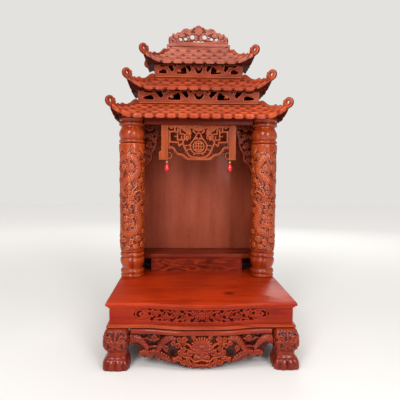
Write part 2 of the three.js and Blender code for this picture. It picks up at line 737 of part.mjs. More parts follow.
// a hip: the board that rides down a corner of the roof and curls up into a scroll
function hip(roof, name, sideX, sideY, from) {
  const { run, unit } = roofDirection(roof);
  const reach = run.length() + roof.flare;
  const along = (t) => run.length() * t + roof.flare * t * t;
  const under = ROOF_RINGS.filter((t) => t >= from).map((t) => (
    [along(t) + (t === 0 ? GAP : 0), skinHeight(roof, t) + upturn(roof, t) + GAP]
  ));
  if (from > 0 && !ROOF_RINGS.includes(from)) {
    const next = ROOF_RINGS.findIndex((t) => t > from);
    const [t0, t1] = [ROOF_RINGS[next - 1], ROOF_RINGS[next]];
    const share = (from - t0) / (t1 - t0);
    const height = (t) => skinHeight(roof, t) + upturn(roof, t) + GAP;
    const s = THREE.MathUtils.lerp(along(t0), along(t1), share);
    under.unshift([s, THREE.MathUtils.lerp(height(t0), height(t1), share)]);
  }
  const start = under[0][0];
  const tip = under[under.length - 1];
  const R = 17;
  const centre = [reach + 5, tip[1] + 13.5];
  const points = [...under, [reach + 0.4, tip[1] - 8.5]];
  for (const degrees of [-60, -12, 36, 84, 132]) {
    const angle = (degrees * Math.PI) / 180;
    points.push([centre[0] + R * Math.cos(angle), centre[1] + R * Math.sin(angle)]);
  }
  const base = (s) => {
    for (let i = 1; i < under.length; i += 1) {
      if (s <= under[i][0]) {
        const share = (s - under[i - 1][0]) / (under[i][0] - under[i - 1][0]);
        return THREE.MathUtils.lerp(under[i - 1][1], under[i][1], share);
      }
    }
    return tip[1];
  };
  const span = centre[0] - R - start;
  const bumps = [[0.9, 9.5], [0.76, 15.5], [0.6, 10.5], [0.4, 10.5], [0.15, 17]];
  for (const [share, height] of bumps) {
    const s = start + span * share;
    points.push([s, base(s) + height]);
  }
  points.push([start, under[0][1] + 5]);
  const eye = ellipse(centre[0], centre[1], 4.5, 4.5, 5);
  const board = pierced(uprightBoard(points, HIP_THICK, -HIP_THICK / 2), [eye]);
  board.rotateZ(Math.atan2(sideY * unit.y, sideX * unit.x));
  board.translate(sideX * roof.galleryX, ROOF_Y + sideY * roof.galleryY, 0);
  add(name, board, palerWood);
}

function hips() {
  for (const [roof, from] of [[LOWER, 0], [MIDDLE, 0], [TOP, 0.17]]) {
    for (const [row, sideY] of [['front', -1], ['rear', 1]]) {
      for (const [side, sideX] of [['left', -1], ['right', 1]]) {
        hip(roof, `hip_${roof.name}_${row}_${side}`, sideX, sideY, from);
      }
    }
  }
}

// a gallery board, pierced with curling leaves that stand and hang by turns
function galleryBoard(half, z0, z1, bays, front) {
  const low = z0 + 9;
  const high = z1 - 12;
  const bay = (half * 0.86) / (bays + 0.3);
  const holes = [];
  for (let i = 0; i < bays; i += 1) {
    for (const side of [-1, 1]) {
      const a = bay * (0.4 + i);
      const b = a + bay * 0.78;
      const curl = [
        [a, low], [b, low], [b - 0.12 * bay, (low + high) / 2], [b - 0.38 * bay, high], [a + 0.3 * bay, high - 8],
      ];
      const stands = i % 2 === 0;
      holes.push(curl.map(([x, z]) => [side * x, stands ? z : low + high - z]));
    }
  }
  return pierced(box(-half, half, front, front + GALLERY_THICK, z0, z1), holes);
}

// a gallery is a box of four boards between two roofs
function gallery(label, roof, top, bays, endBays) {
  const z0 = roof.top + GAP;
  const { galleryX, galleryY } = roof;
  const wall = GALLERY_THICK;
  add(`${label}_gallery_front`, galleryBoard(galleryX, z0, top, bays, ROOF_Y - galleryY), palerWood);
  const rearY = ROOF_Y + galleryY;
  add(`${label}_gallery_rear`, box(-galleryX, galleryX, rearY - wall, rearY, z0, top), palerWood);
  const half = galleryY - wall - GAP;
  for (const [side, turn] of [['left', -Math.PI / 2], ['right', Math.PI / 2]]) {
    const end = galleryBoard(half, z0, top, endBays, -galleryX);
    add(`${label}_gallery_${side}`, end.rotateZ(turn).translate(0, ROOF_Y, 0), palerWood);
  }
}

function ridge() {
  const half = 8;
  const z0 = TOP.top + GAP;
  add('ridge_bar', box(-RIDGE_X, RIDGE_X, ROOF_Y - half, ROOF_Y + half, z0, RIDGE_TOP), palerWood);
  const thick = 8;
  const x0 = RIDGE_X + GAP;
  const firstRing = TOP.galleryX + (TOP.eaveX - TOP.galleryX) * ROOF_RINGS[1];
  const drop = (TOP.top - skinHeight(TOP, ROOF_RINGS[1])) / (firstRing - TOP.galleryX);
  const shoulder = TOP.galleryX + 5;
  const skin = (x) => TOP.top - drop * (x - shoulder) + 2 * GAP;
  for (const [side, sign] of [['left', -1], ['right', 1]]) {
    const face = [[x0, skin(x0)], [x0 + thick, skin(x0 + thick)], [x0 + thick, CAP_TOP], [x0, CAP_TOP]];
    const cap = uprightBoard(face.map(([x, z]) => [sign * x, z]), 16, ROOF_Y - 8);
    add(`ridge_cap_${side}`, cap, palerWood);
  }
}

function crest() {
  const z0 = RIDGE_TOP + GAP;
  const lobes = [
    [CREST_X, z0], [CREST_X, z0 + 14], [100, z0 + 23], [92, z0 + 24], [84, z0 + 33], [78, z0 + 26], [68, z0 + 38],
    [58, z0 + 39], [54, z0 + 48], [42, z0 + 52], [32, z0 + 46], [24, z0 + 54], [14, CREST_TOP - 2], [0, CREST_TOP],
  ];
  const holes = [];
  for (const [x, z, rx, rz] of [[22, 21, 8, 8], [47, 14, 7, 7], [67, 15, 6, 8], [89, 12, 7, 5]]) {
    holes.push(ellipse(x, z0 + z, rx, rz, 6), ellipse(-x, z0 + z, rx, rz, 6));
  }
  add('crest', pierced(uprightBoard(mirrored(lobes), 12, ROOF_Y - 6), holes), palerWood);
}

tabletop();
baseMoulding();
baseBoards();
legs();
aprons();
columns();
panels();
step();
lintel();
lambrequin();
posts();
brackets();
roofs();
hips();
gallery('lower', LOWER, MIDDLE.soffit - GAP, 6, 1);
gallery('upper', MIDDLE, TOP.soffit - GAP, 5, 1);
ridge();
crest();

export default altar;
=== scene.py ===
import math

import bmesh
import bpy
import numpy as np
from mathutils import Matrix, Vector


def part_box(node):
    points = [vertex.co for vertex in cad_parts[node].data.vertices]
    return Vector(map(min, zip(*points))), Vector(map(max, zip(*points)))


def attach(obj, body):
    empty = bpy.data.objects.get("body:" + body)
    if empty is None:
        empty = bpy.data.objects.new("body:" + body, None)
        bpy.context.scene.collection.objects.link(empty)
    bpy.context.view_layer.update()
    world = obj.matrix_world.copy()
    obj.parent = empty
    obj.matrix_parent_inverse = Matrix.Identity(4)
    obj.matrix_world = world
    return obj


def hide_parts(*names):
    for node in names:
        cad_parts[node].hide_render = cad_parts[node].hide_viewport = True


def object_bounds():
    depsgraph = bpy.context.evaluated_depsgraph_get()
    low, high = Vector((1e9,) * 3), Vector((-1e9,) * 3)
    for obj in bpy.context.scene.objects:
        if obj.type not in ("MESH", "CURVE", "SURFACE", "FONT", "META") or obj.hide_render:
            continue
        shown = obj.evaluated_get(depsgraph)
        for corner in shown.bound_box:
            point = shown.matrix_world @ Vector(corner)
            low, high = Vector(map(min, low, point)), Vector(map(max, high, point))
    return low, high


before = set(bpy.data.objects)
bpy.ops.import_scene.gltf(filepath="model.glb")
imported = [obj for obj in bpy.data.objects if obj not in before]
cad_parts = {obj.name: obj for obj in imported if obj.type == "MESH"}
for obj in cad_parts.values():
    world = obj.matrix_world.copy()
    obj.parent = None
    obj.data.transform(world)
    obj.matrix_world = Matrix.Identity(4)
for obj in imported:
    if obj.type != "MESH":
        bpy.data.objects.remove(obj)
cad_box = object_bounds()

# ---- Room and camera -----------------------------------------------------------------------------
# The cabinet stands on a plain pale floor in soft studio light, seen from a little left of
# its middle at half its height. None of this belongs to the cabinet.
FLOOR_SIZE = 6
bpy.context.scene.view_settings.view_transform = "Standard"

world = bpy.data.worlds.new("studio")
world.use_nodes = True
sky = world.node_tree
seen = sky.nodes["Background"]
seen.inputs["Color"].default_value = (0.775, 0.76, 0.735, 1)
ambient = sky.nodes.new("ShaderNodeBackground")
ambient.inputs["Color"].default_value = (1.0, 0.98, 0.95, 1)
ambient.inputs["Strength"].default_value = 0.40
ray = sky.nodes.new("ShaderNodeLightPath")
either = sky.nodes.new("ShaderNodeMixShader")
sky.links.new(ray.outputs["Is Camera Ray"], either.inputs["Fac"])
sky.links.new(ambient.outputs["Background"], either.inputs[1])
sky.links.new(seen.outputs["Background"], either.inputs[2])
sky.links.new(either.outputs["Shader"], sky.nodes["World Output"].inputs["Surface"])
bpy.context.scene.world = world

floor_bm = bmesh.new()
bmesh.ops.create_grid(floor_bm, x_segments=2, y_segments=2, size=FLOOR_SIZE)
floor_mesh = bpy.data.meshes.new("floor")
floor_bm.to_mesh(floor_mesh)
floor_bm.free()
floor = bpy.data.objects.new("floor", floor_mesh)
floor.location.z = cad_box[0].z
bpy.context.scene.collection.objects.link(floor)
floor_paint = bpy.data.materials.new("floor_paint")
floor_paint.use_nodes = True
paint = floor_paint.node_tree.nodes["Principled BSDF"]
paint.inputs["Base Color"].default_value = (0.80, 0.785, 0.765, 1)
paint.inputs["Roughness"].default_value = 0.8
paint.inputs["Specular IOR Level"].default_value = 0.1
paint.inputs["Emission Color"].default_value = (1, 0.985, 0.965, 1)
# away from the cabinet the floor glows a little, so that it runs into the wall without a line
floor_nodes, floor_links = floor_paint.node_tree.nodes, floor_paint.node_tree.links
floor_place = floor_nodes.new("ShaderNodeTexCoord")
from_cabinet = floor_nodes.new("ShaderNodeVectorMath")
from_cabinet.operation = "LENGTH"
floor_links.new(floor_place.outputs["Object"], from_cabinet.inputs[0])
glow = floor_nodes.new("ShaderNodeMapRange")
glow.interpolation_type = "SMOOTHSTEP"
for socket, value in (("From Min", 0.6), ("From Max", 3.0), ("To Min", 0.0), ("To Max", 0.43)):
    glow.inputs[socket].default_value = value
floor_links.new(from_cabinet.outputs["Value"], glow.inputs["Value"])
floor_links.new(glow.outputs["Result"], paint.inputs["Emission Strength"])
floor_mesh.materials.append(floor_paint)


def softbox(name, place, aim, width, height, power):
    """A soft rectangular lamp at a place, turned toward the point aim."""
    lamp = bpy.data.lights.new(name, "AREA")
    lamp.shape = "RECTANGLE"
    lamp.size, lamp.size_y, lamp.energy = width, height, power
    stand = bpy.data.objects.new(name, lamp)
    stand.location = place
    stand.rotation_euler = (Vector(aim) - Vector(place)).to_track_quat("-Z", "Y").to_euler()
    bpy.context.scene.collection.objects.link(stand)


cabinet_middle = (0, 0, 0.5)
softbox("key_light", (-1.0, -2.3, 1.7), cabinet_middle, 0.7, 1.4, 42)
softbox("fill_light", (0.95, -2.3, 1.3), cabinet_middle, 0.6, 1.4, 30)
softbox("top_light", (0, -0.6, 2.4), cabinet_middle, 1.6, 1.2, 20)
softbox("rear_light", (0.6, 2.2, 1.6), cabinet_middle, 1.4, 1.4, 20)

camera_data = bpy.data.cameras.new("camera")
camera_data.sensor_width = 36
camera_data.lens = 36
camera_data.shift_x, camera_data.shift_y = 0.01902, 0.00961
camera = bpy.data.objects.new("camera", camera_data)
camera_place = (-0.0596, -1.3457, 0.5388)
yaw, pitch, roll = math.radians(1.646), math.radians(-4.069), math.radians(0.385)
ahead = Vector((math.sin(yaw) * math.cos(pitch), math.cos(yaw) * math.cos(pitch), math.sin(pitch)))
level = Vector((math.cos(yaw), -math.sin(yaw), 0))
upright = level.cross(ahead)
right = level * math.cos(roll) + upright * math.sin(roll)
up = upright * math.cos(roll) - level * math.sin(roll)
camera_turn = Matrix((right, up, -ahead)).transposed().to_4x4()
camera.matrix_world = Matrix.Translation(camera_place) @ camera_turn
bpy.context.scene.collection.objects.link(camera)
bpy.context.scene.camera = camera

# ---- Tabletop ------------------------------------------------------------------------------------
# One wide board of reddish hardwood with a moulded edge, swelling forward across the front.
# It is glued to the base boards and its top is rubbed and varnished to a soft shine.
MM = 0.001
BOW, BOW_FLAT, BOW_END = 17, 50, 165
FRONT_STEPS, LAST_STEP = 49, 0.96


def swell(x):
    """How far the front stands out at x: full in the middle, nothing past BOW_END."""
    t = np.clip((BOW_END - np.abs(x)) / (BOW_END - BOW_FLAT), 0, 1)
    return BOW * t * t * (3 - 2 * t)


def box_mm(node):
    """The low and high corners of a node, in millimetres."""
    low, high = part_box(node)
    return np.array(low) / MM, np.array(high) / MM


def varnished_wood(name, deep, body, light, grain=(1, 9, 9), gloss=0.27, figure=1.0, shine=0.09, knot=None):
    """Stained wood streaked along its grain, with painted shade in its hollows and painted highlights on its
    ridges.
    """
    wood = bpy.data.materials.new(name)
    wood.use_nodes = True
    nodes, links = wood.node_tree.nodes, wood.node_tree.links
    shader = nodes["Principled BSDF"]
    place = nodes.new("ShaderNodeTexCoord")

    def noise(scale, stretch, detail, distortion=0.0):
        mapping = nodes.new("ShaderNodeMapping")
        mapping.inputs["Scale"].default_value = stretch
        links.new(place.outputs["Object"], mapping.inputs["Vector"])
        pattern = nodes.new("ShaderNodeTexNoise")
        pattern.inputs["Scale"].default_value = scale
        pattern.inputs["Detail"].default_value = detail
        pattern.inputs["Distortion"].default_value = distortion
        links.new(mapping.outputs["Vector"], pattern.inputs["Vector"])
        return pattern.outputs["Fac"]

    def ramp(value, *stops):
        band = nodes.new("ShaderNodeValToRGB")
        while len(band.color_ramp.elements) < len(stops):
            band.color_ramp.elements.new(0.5)
        for element, (position, colour) in zip(band.color_ramp.elements, stops):
            element.position = position
            element.color = (*colour, 1)
        links.new(value, band.inputs["Fac"])
        return band.outputs["Color"]

    def mix(amount, first, second, how="MIX"):
        blend = nodes.new("ShaderNodeMix")
        blend.data_type = "RGBA"
        blend.blend_type = how
        if isinstance(amount, float):
            blend.inputs["Factor"].default_value = amount
        else:
            links.new(amount, blend.inputs["Factor"])
        for socket, colour in (("A", first), ("B", second)):
            slot = [s for s in blend.inputs if s.name == socket and s.type == "RGBA"][0]
            if isinstance(colour, tuple):
                slot.default_value = (*colour, 1)
            else:
                links.new(colour, slot)
        return [s for s in blend.outputs if s.type == "RGBA"][0]

    growth = noise(scale=6, stretch=grain, detail=7, distortion=0.9 * figure)
    colour = ramp(growth, (0.30, deep), (0.48, body), (0.70, light))
    cloudy = noise(scale=7, stretch=(1, 1, 1), detail=3)
    patches = ramp(cloudy, (0.35, (0.72, 0.66, 0.62)), (0.68, (1.12, 1.1, 1.06)))
    colour = mix(0.75 * min(1.0, figure), colour, patches, "MULTIPLY")
    flecks = noise(scale=170, stretch=tuple(g ** 1.15 for g in grain), detail=3)
    pores = ramp(flecks, (0.40, (0.62, 0.5, 0.45)), (0.55, (1, 1, 1)))
    colour = mix(0.5, colour, pores, "MULTIPLY")
    if knot:
        offset = nodes.new("ShaderNodeVectorMath")
        offset.operation = "DISTANCE"
        links.new(place.outputs["Object"], offset.inputs[0])
        offset.inputs[1].default_value = knot
        eye = ramp(offset.outputs["Value"], (0.006, (0.30, 0.22, 0.2)), (0.012, (0.5, 0.42, 0.4)),
                   (0.024, (1, 1, 1)))
        colour = mix(0.9, colour, eye, "MULTIPLY")
    # painted shading from the carving's shape: above 0 it is painted shade, below 0 painted highlight
    painted_shading = nodes.new("ShaderNodeAttribute")
    painted_shading.attribute_name = "painted_shading"
    # painted highlight: ridges turn toward a paler colour
    painted_highlight = nodes.new("ShaderNodeMapRange")
    painted_highlight.inputs["From Min"].default_value = 0.0
    painted_highlight.inputs["From Max"].default_value = -0.6
    links.new(painted_shading.outputs["Fac"], painted_highlight.inputs["Value"])
    highlight_colour = tuple(min(1, c * f) for c, f in zip(light, (1.3, 1.7, 1.9)))
    colour = mix(painted_highlight.outputs["Result"], colour, highlight_colour)
    # painted shade: recesses turn toward a near-black colour, and are made rougher too
    painted_shade = nodes.new("ShaderNodeMapRange")
    links.new(painted_shading.outputs["Fac"], painted_shade.inputs["Value"])
    shade_colour = tuple(c * f for c, f in zip(deep, (0.13, 0.06, 0.06)))
    colour = mix(painted_shade.outputs["Result"], colour, shade_colour)
    links.new(colour, shader.inputs["Base Color"])
    sheen = nodes.new("ShaderNodeMapRange")
    sheen.inputs["To Min"].default_value = gloss - 0.03
    sheen.inputs["To Max"].default_value = gloss + 0.16
    links.new(noise(scale=14, stretch=(1, 2, 2), detail=4), sheen.inputs["Value"])
    dulled = nodes.new("ShaderNodeMath")
    dulled.operation = "MULTIPLY_ADD"
    dulled.use_clamp = True
    links.new(painted_shade.outputs["Result"], dulled.inputs[0])
    dulled.inputs[1].default_value = 0.6
    links.new(sheen.outputs["Result"], dulled.inputs[2])
    links.new(dulled.outputs["Value"], shader.inputs["Roughness"])
    relief = nodes.new("ShaderNodeBump")
    relief.inputs["Strength"].default_value = 0.25
    relief.inputs["Distance"].default_value = 0.0006
    links.new(noise(scale=120, stretch=grain, detail=4), relief.inputs["Height"])
    links.new(relief.outputs["Normal"], shader.inputs["Normal"])
    shader.inputs["Specular IOR Level"].default_value = 0.15
    shader.inputs["Coat Weight"].default_value = shine
    shader.inputs["Coat Roughness"].default_value = 0.14
    return wood


def set_in_place(bm, name, finish, slot, *nodes, crease=32):
    """Makes a finished mesh a piece of the cabinet, in place of the nodes that it is named for."""
    bmesh.ops.recalc_face_normals(bm, faces=bm.faces)
    bmesh.ops.scale(bm, vec=(MM, MM, MM), verts=bm.verts)
    mesh = bpy.data.meshes.new(name)
    bm.to_mesh(mesh)
    bm.free()
    mesh.shade_smooth()
    mesh.set_sharp_from_angle(angle=math.radians(crease))
    mesh.materials.append(finish)
    piece = bpy.data.objects.new(name, mesh)
    bpy.context.scene.collection.objects.link(piece)
    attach(piece, "root")
    if nodes:
        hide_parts(*nodes)
    return piece


def plan(half_x, front, back, inset, z):
    """The outline of a slab or a frame at height z, drawn in by inset."""
    xs = np.concatenate(([-1], np.linspace(-LAST_STEP, LAST_STEP, FRONT_STEPS), [1])) * (half_x - inset)
    ring = [Vector((x, -front + inset - swell(x), z)) for x in xs]
    return ring + [Vector((half_x - inset, back - inset, z)), Vector((inset - half_x, back - inset, z))]


def picked(kind, parts):
    """The parts of one kind, such as the new faces out of all that an extrusion gave."""
    return [part for part in parts if isinstance(part, kind)]


def moulded_slab(steps, half_x, front, back):
    """A solid slab whose edge follows the steps, each a height and how far the edge is drawn in."""
    bm = bmesh.new()
    face = bm.faces.new([bm.verts.new(p) for p in plan(half_x, front, back, steps[0][1], steps[0][0])])
    for z, inset in steps[1:]:
        raised = bmesh.ops.extrude_face_region(bm, geom=[face])["geom"]
        face = picked(bmesh.types.BMFace, raised)[0]
        ring = plan(half_x, front, back, inset, z)
        for vert, point in zip(face.verts, ring):
            vert.co = point
    return bm


top_low, top_high = box_mm("tabletop")
TABLE_Z, TABLE_TOP = top_low[2], top_high[2]
table_half, table_back = top_high[0], top_high[1]
table_front = -top_low[1] - BOW
edge_steps = [
    (TABLE_Z, 6), (TABLE_Z + 2.5, 5.6), (TABLE_Z + 4.5, 4.6), (TABLE_Z + 5.6, 3.2), (TABLE_Z + 5.8, 1.4),
    (TABLE_Z + 7, 0.3), (TABLE_Z + 8.5, 0), (TABLE_TOP - 4, 0), (TABLE_TOP - 2.2, 0.5),
    (TABLE_TOP - 0.8, 1.5), (TABLE_TOP, 3.2),
]
polished_wood = varnished_wood(
    "polished_tabletop", (0.30, 0.015, 0.001), (0.39, 0.025, 0.002), (0.46, 0.038, 0.004), grain=(1, 9, 9),
    gloss=0.35, figure=1.1, knot=(0.086, -0.168, TABLE_TOP * MM),
)
tabletop_bm = moulded_slab(edge_steps, table_half, table_front, table_back)
set_in_place(tabletop_bm, "tabletop_board", polished_wood, "hardwood", "tabletop")

# ---- Base moulding -------------------------------------------------------------------------------
# The frame of two beads and a hollow that runs round under the base boards, following the
# swell of the front. It is run in lengths from paler stock and mitred at the corners.
mould_low, mould_high = box_mm("base_moulding")
rail_wood = varnished_wood(
    "moulding_wood", (0.30, 0.028, 0.009), (0.43, 0.058, 0.018), (0.52, 0.095, 0.034), grain=(1, 8, 8),
)


def run_frame(steps, half_x, front, back):
    """A closed moulding run round the cabinet: the steps go round its section, out and back in."""
    bm = bmesh.new()
    first = [bm.verts.new(p) for p in plan(half_x, front, back, steps[0][1], steps[0][0])]
    start = [bm.edges.new((a, b)) for a, b in zip(first, first[1:] + first[:1])]
    edges, verts = start, first
    for z, inset in steps[1:]:
        raised = bmesh.ops.extrude_edge_only(bm, edges=edges)["geom"]
        edges = picked(bmesh.types.BMEdge, raised)
        fresh = set(picked(bmesh.types.BMVert, raised))
        ring = plan(half_x, front, back, inset, z)
        following = []
        for vert, point in zip(verts, ring):
            above = [e.other_vert(vert) for e in vert.link_edges if e.other_vert(vert) in fresh][0]
            above.co = point
            following.append(above)
        verts = following
    last = [bm.edges.get((a, b)) for a, b in zip(verts, verts[1:] + verts[:1])]
    bmesh.ops.bridge_loops(bm, edges=start + last)
    return bm


z0, z1 = mould_low[2], mould_high[2]
FRAME_WIDTH = 30
bead_steps = [
    (z0, 5), (z0 + 0.8, 2.6), (z0 + 2.2, 0.8), (z0 + 3.8, 0), (z0 + 5.0, 0.9), (z0 + 5.6, 2.6),
    (z0 + 6.2, 2.8), (z0 + 6.8, 1.6), (z0 + 8.0, 1.2), (z0 + 9.1, 2.6), (z1, 5), (z1, FRAME_WIDTH),
    (z0, FRAME_WIDTH),
]
moulding_bm = run_frame(bead_steps, mould_high[0], -mould_low[1] - BOW, mould_high[1])
set_in_place(moulding_bm, "base_moulding_frame", rail_wood, "pale_hardwood", "base_moulding", crease=50)

# ---- Front base board ----------------------------------------------------------------------------
# The front board of the base follows the swell. A long panel in it is cut back to a thin
# ground round a scrolling vine, with a flower in the middle and a scroll with a ball at each end.
board_wood = varnished_wood(
    "base_board_wood", (0.19, 0.008, 0.001), (0.27, 0.013, 0.001), (0.32, 0.023, 0.003), grain=(1, 8, 8),
    gloss=0.28, shine=0.05,
)
# how deep inside a cut a point is said to lie when it is nowhere near it
NOWHERE = -60.0


def bend(points, per=6):
    """A smooth line through the points, with per steps from each to the next."""
    p = np.array(points, float)
    p = np.vstack((2 * p[0] - p[1], p, 2 * p[-1] - p[-2]))
    t = np.linspace(0, 1, per, endpoint=False)[:, None]
    spans = []
    for a, b, c, d in zip(p, p[1:], p[2:], p[3:]):
        square, cube = 2 * a - 5 * b + 4 * c - d, 3 * b - a - 3 * c + d
        spans.append(0.5 * (2 * b + (c - a) * t + square * t**2 + cube * t**3))
    return np.vstack(spans + [p[-2:-1]])


def closed_curve(points, per=5):
    """The same, running back to its start."""
    return bend([points[-1], *points, points[0], points[1]], per)[per:-per - 1]


def curl(cx, cz, outer, inner, start, turns, count=22):
    """A spiral from the outer to the inner radius, beginning at the angle start."""
    angle = np.radians(start) + np.linspace(0, turns * 2 * math.pi, count)
    radius = np.linspace(outer, inner, count)
    return np.column_stack((cx + radius * np.cos(angle), cz + radius * np.sin(angle)))


def half_board(reach, low, high):
    """The right half of a board, and a little of the left."""
    return [(-6, low), (reach, low), (reach, high), (-6, high)]


class Carving:
    """A pattern cut in a board: each cut says how far inside it a point lies, and how high."""

    def __init__(self, symmetric=False):
        self.cuts = []
        self.symmetric = symmetric

    def outline(self, points, height=0.0, rounding=1.2, remove=False):
        """A flat area inside the points, rounded off toward its edge, or a hole."""
        corners = np.array(points, float)

        def cut(x, z):
            nearest = np.full(x.shape, 1e9)
            within = np.zeros(x.shape, bool)
            for (ax, az), (bx, bz) in zip(corners, np.roll(corners, -1, axis=0)):
                dx, dz = bx - ax, bz - az
                t = np.clip(((x - ax) * dx + (z - az) * dz) / (dx * dx + dz * dz + 1e-9), 0, 1)
                nearest = np.minimum(nearest, np.hypot(x - ax - t * dx, z - az - t * dz))
                crosses = (az > z) != (bz > z)
                within ^= crosses & (x < ax + (z - az) * dx / (dz if dz else 1e-9))
            inside = np.where(within, nearest, -nearest)
            drop = rounding * (1 - np.clip(inside / max(rounding, 1e-6), 0, 1)) ** 2
            return inside, height - drop

        self.cuts.append((cut, remove))

    def disc(self, cx, cz, radius, base=0.0, rise=0.0, remove=False, flat=1.0):
        """A round boss, squashed by flat, or a hole."""
        def cut(x, z):
            away = np.hypot(x - cx, (z - cz) / flat)
            dome = rise * np.sqrt(np.clip(1 - (away / radius) ** 2, 0, 1))
            return radius - away, base + dome

        self.cuts.append((cut, remove))

    def strand(self, path, width, base=0.0, rise=2.0, groove=0.0, scales=0.0):
        """A rounded ridge along the path, with a groove down its middle or overlapping scales."""
        path = np.asarray(path, float) if len(path) > 2 else bend(path, 4)
        widths = np.atleast_1d(width)
        width = np.interp(np.linspace(0, 1, len(path)), np.linspace(0, 1, len(widths)), widths)
        length = np.concatenate(([0], np.cumsum(np.hypot(*np.diff(path, axis=0).T))))

        def cut(x, z):
            inside = np.full(x.shape, NOWHERE)
            height = np.zeros(x.shape)
            reach = width.max() + 4
            low, high = path.min(0) - reach, path.max(0) + reach
            near = (x > low[0]) & (x < high[0]) & (z > low[1]) & (z < high[1])
            xs, zs = x[near], z[near]
            best = np.full(xs.shape, NOWHERE)
            ratio, along, across = np.ones(xs.shape), np.zeros(xs.shape), np.zeros(xs.shape)
            for i in range(len(path) - 1):
                (ax, az), (dx, dz) = path[i], path[i + 1] - path[i]
                t = np.clip(((xs - ax) * dx + (zs - az) * dz) / (dx * dx + dz * dz + 1e-9), 0, 1)
                ox, oz = xs - ax - t * dx, zs - az - t * dz
                away = np.hypot(ox, oz)
                w = width[i] + t * (width[i + 1] - width[i])
                better = w - away > best
                best = np.where(better, w - away, best)
                ratio = np.where(better, away / np.maximum(w, 0.1), ratio)
                along = np.where(better, length[i] + t * (length[i + 1] - length[i]), along)
                across = np.where(better, (ox * dz - oz * dx) / (np.hypot(dx, dz) + 1e-9), across)
            top = rise * np.sqrt(np.clip(1 - ratio**2, 0, 1))
            top -= groove * np.exp(-((ratio / 0.28) ** 2))
            if scales:
                row = np.floor(along / scales)
                u = across / (scales * 1.1) + 0.5 * (row % 2)
                v = along / scales - row
                lobe = np.abs(u - np.round(u)) * 2
                top += 0.3 * scales * (np.sqrt(np.clip(1 - lobe**2, 0, 1)) * (1 - v) - 0.45)
            inside[near] = best
            height[near] = base + top
            return inside, height

        self.cuts.append((cut, False))

    def read(self, x, z):
        """How far each point lies inside the wood that is left, and the height of its surface."""
        if self.symmetric:
            x = np.abs(x)
        solid, height = np.full(x.shape, NOWHERE), np.full(x.shape, NOWHERE)
        for cut, remove in self.cuts:
            inside, top = cut(x, z)
            if remove:
                solid = np.minimum(solid, -inside)
                height = np.where(inside > 0, NOWHERE, height)
            else:
                height = np.where(inside > -0.4, np.maximum(height, top), height)
                solid = np.maximum(solid, inside)
        return solid, height


def recess(bm, height, spread=2):
    """How far each point lies below its neighbours: above 0 in a recess, below 0 on a ridge."""
    bm.verts.index_update()
    ends = np.array([(e.verts[0].index, e.verts[1].index) for e in bm.edges])
    size = len(height)
    shared = 1 + np.bincount(ends.ravel(), minlength=size)
    around = height.copy()
    for _ in range(spread):
        one_way = np.bincount(ends[:, 0], around[ends[:, 1]], size)
        other_way = np.bincount(ends[:, 1], around[ends[:, 0]], size)
        around = (around + (one_way + other_way)) / shared
    return around - height


def flat_face(y):
    """The front of a flat board that stands at y."""
    return lambda x: np.full(x.shape, y)


def swollen_face(front):
    """The front of a board that follows the swell."""
    return lambda x: -front - swell(x)


def carve(pattern, x_range, z_range, face, cell, thick, low, high, mirror_back=False):
    """Cuts a pattern in a board: face(x) is the board's front, thick how deep it is."""
    (x0, x1), (z0, z1) = x_range, z_range
    bm = bmesh.new()
    across, upward = round((x1 - x0) / cell), round((z1 - z0) / cell)
    bmesh.ops.create_grid(bm, x_segments=across, y_segments=upward, size=1)
    bmesh.ops.scale(bm, vec=((x1 - x0) / 2, (z1 - z0) / 2, 1), verts=bm.verts)
    bmesh.ops.translate(bm, vec=((x0 + x1) / 2, (z0 + z1) / 2, 0), verts=bm.verts)
    at = np.array([v.co[:2] for v in bm.verts])
    solid, _ = pattern.read(at[:, 0], at[:, 1])
    bm.verts.index_update()
    waste = [f for f in bm.faces if max(solid[v.index] for v in f.verts) <= 0.05]
    bmesh.ops.delete(bm, geom=waste, context="FACES")
    bmesh.ops.delete(bm, geom=[v for v in bm.verts if not v.link_faces], context="VERTS")
    at = np.array([v.co[:2] for v in bm.verts])
    for _ in range(2):
        solid, _ = pattern.read(at[:, 0], at[:, 1])
        nudge = 0.2
        slope_x = (pattern.read(at[:, 0] + nudge, at[:, 1])[0] - solid) / nudge
        slope_z = (pattern.read(at[:, 0], at[:, 1] + nudge)[0] - solid) / nudge
        steep = np.maximum(slope_x**2 + slope_z**2, 0.3)
        back_in = np.where(solid < 0, np.clip(-solid, 0, cell * 1.5), 0)
        at[:, 0] += back_in * slope_x / steep
        at[:, 1] += back_in * slope_z / steep
    at[:, 0] = np.clip(at[:, 0], x0, x1)
    at[:, 1] = np.clip(at[:, 1], z0, z1)
    _, height = pattern.read(at[:, 0], at[:, 1])
    height = np.clip(height, low, high)
    shade = bm.verts.layers.float.new("painted_shading")
    front = face(at[:, 0])
    # painted shade that deepens toward the carving's ground and in recesses, and painted highlight on its
    # ridges
    dark = np.clip((high - height) / (high - low) * 1.5 - 0.42, 0, 0.85) + 0.55 * recess(bm, height)
    for v, (x, z), y, h, d in zip(bm.verts, at, front, height, np.clip(dark, -0.6, 0.95)):
        v.co = (x, y - h, z)
        v[shade] = float(d)
    raised = bmesh.ops.extrude_face_region(bm, geom=bm.faces[:], use_keep_orig=True)["geom"]
    # painted shade on the back and the cut edges of the board
    for v in picked(bmesh.types.BMVert, raised):
        v[shade] = 0.3
        depth = face(np.array([v.co.x]))[0]
        v.co.y = 2 * depth + thick - v.co.y if mirror_back else depth + thick
    return bm


def put_together(parts):
    """Glues several blocks up as one."""
    whole = bmesh.new()
    for part in parts:
        keep = bpy.data.meshes.new("part")
        part.to_mesh(keep)
        part.free()
        whole.from_mesh(keep)
        bpy.data.meshes.remove(keep)
    return whole


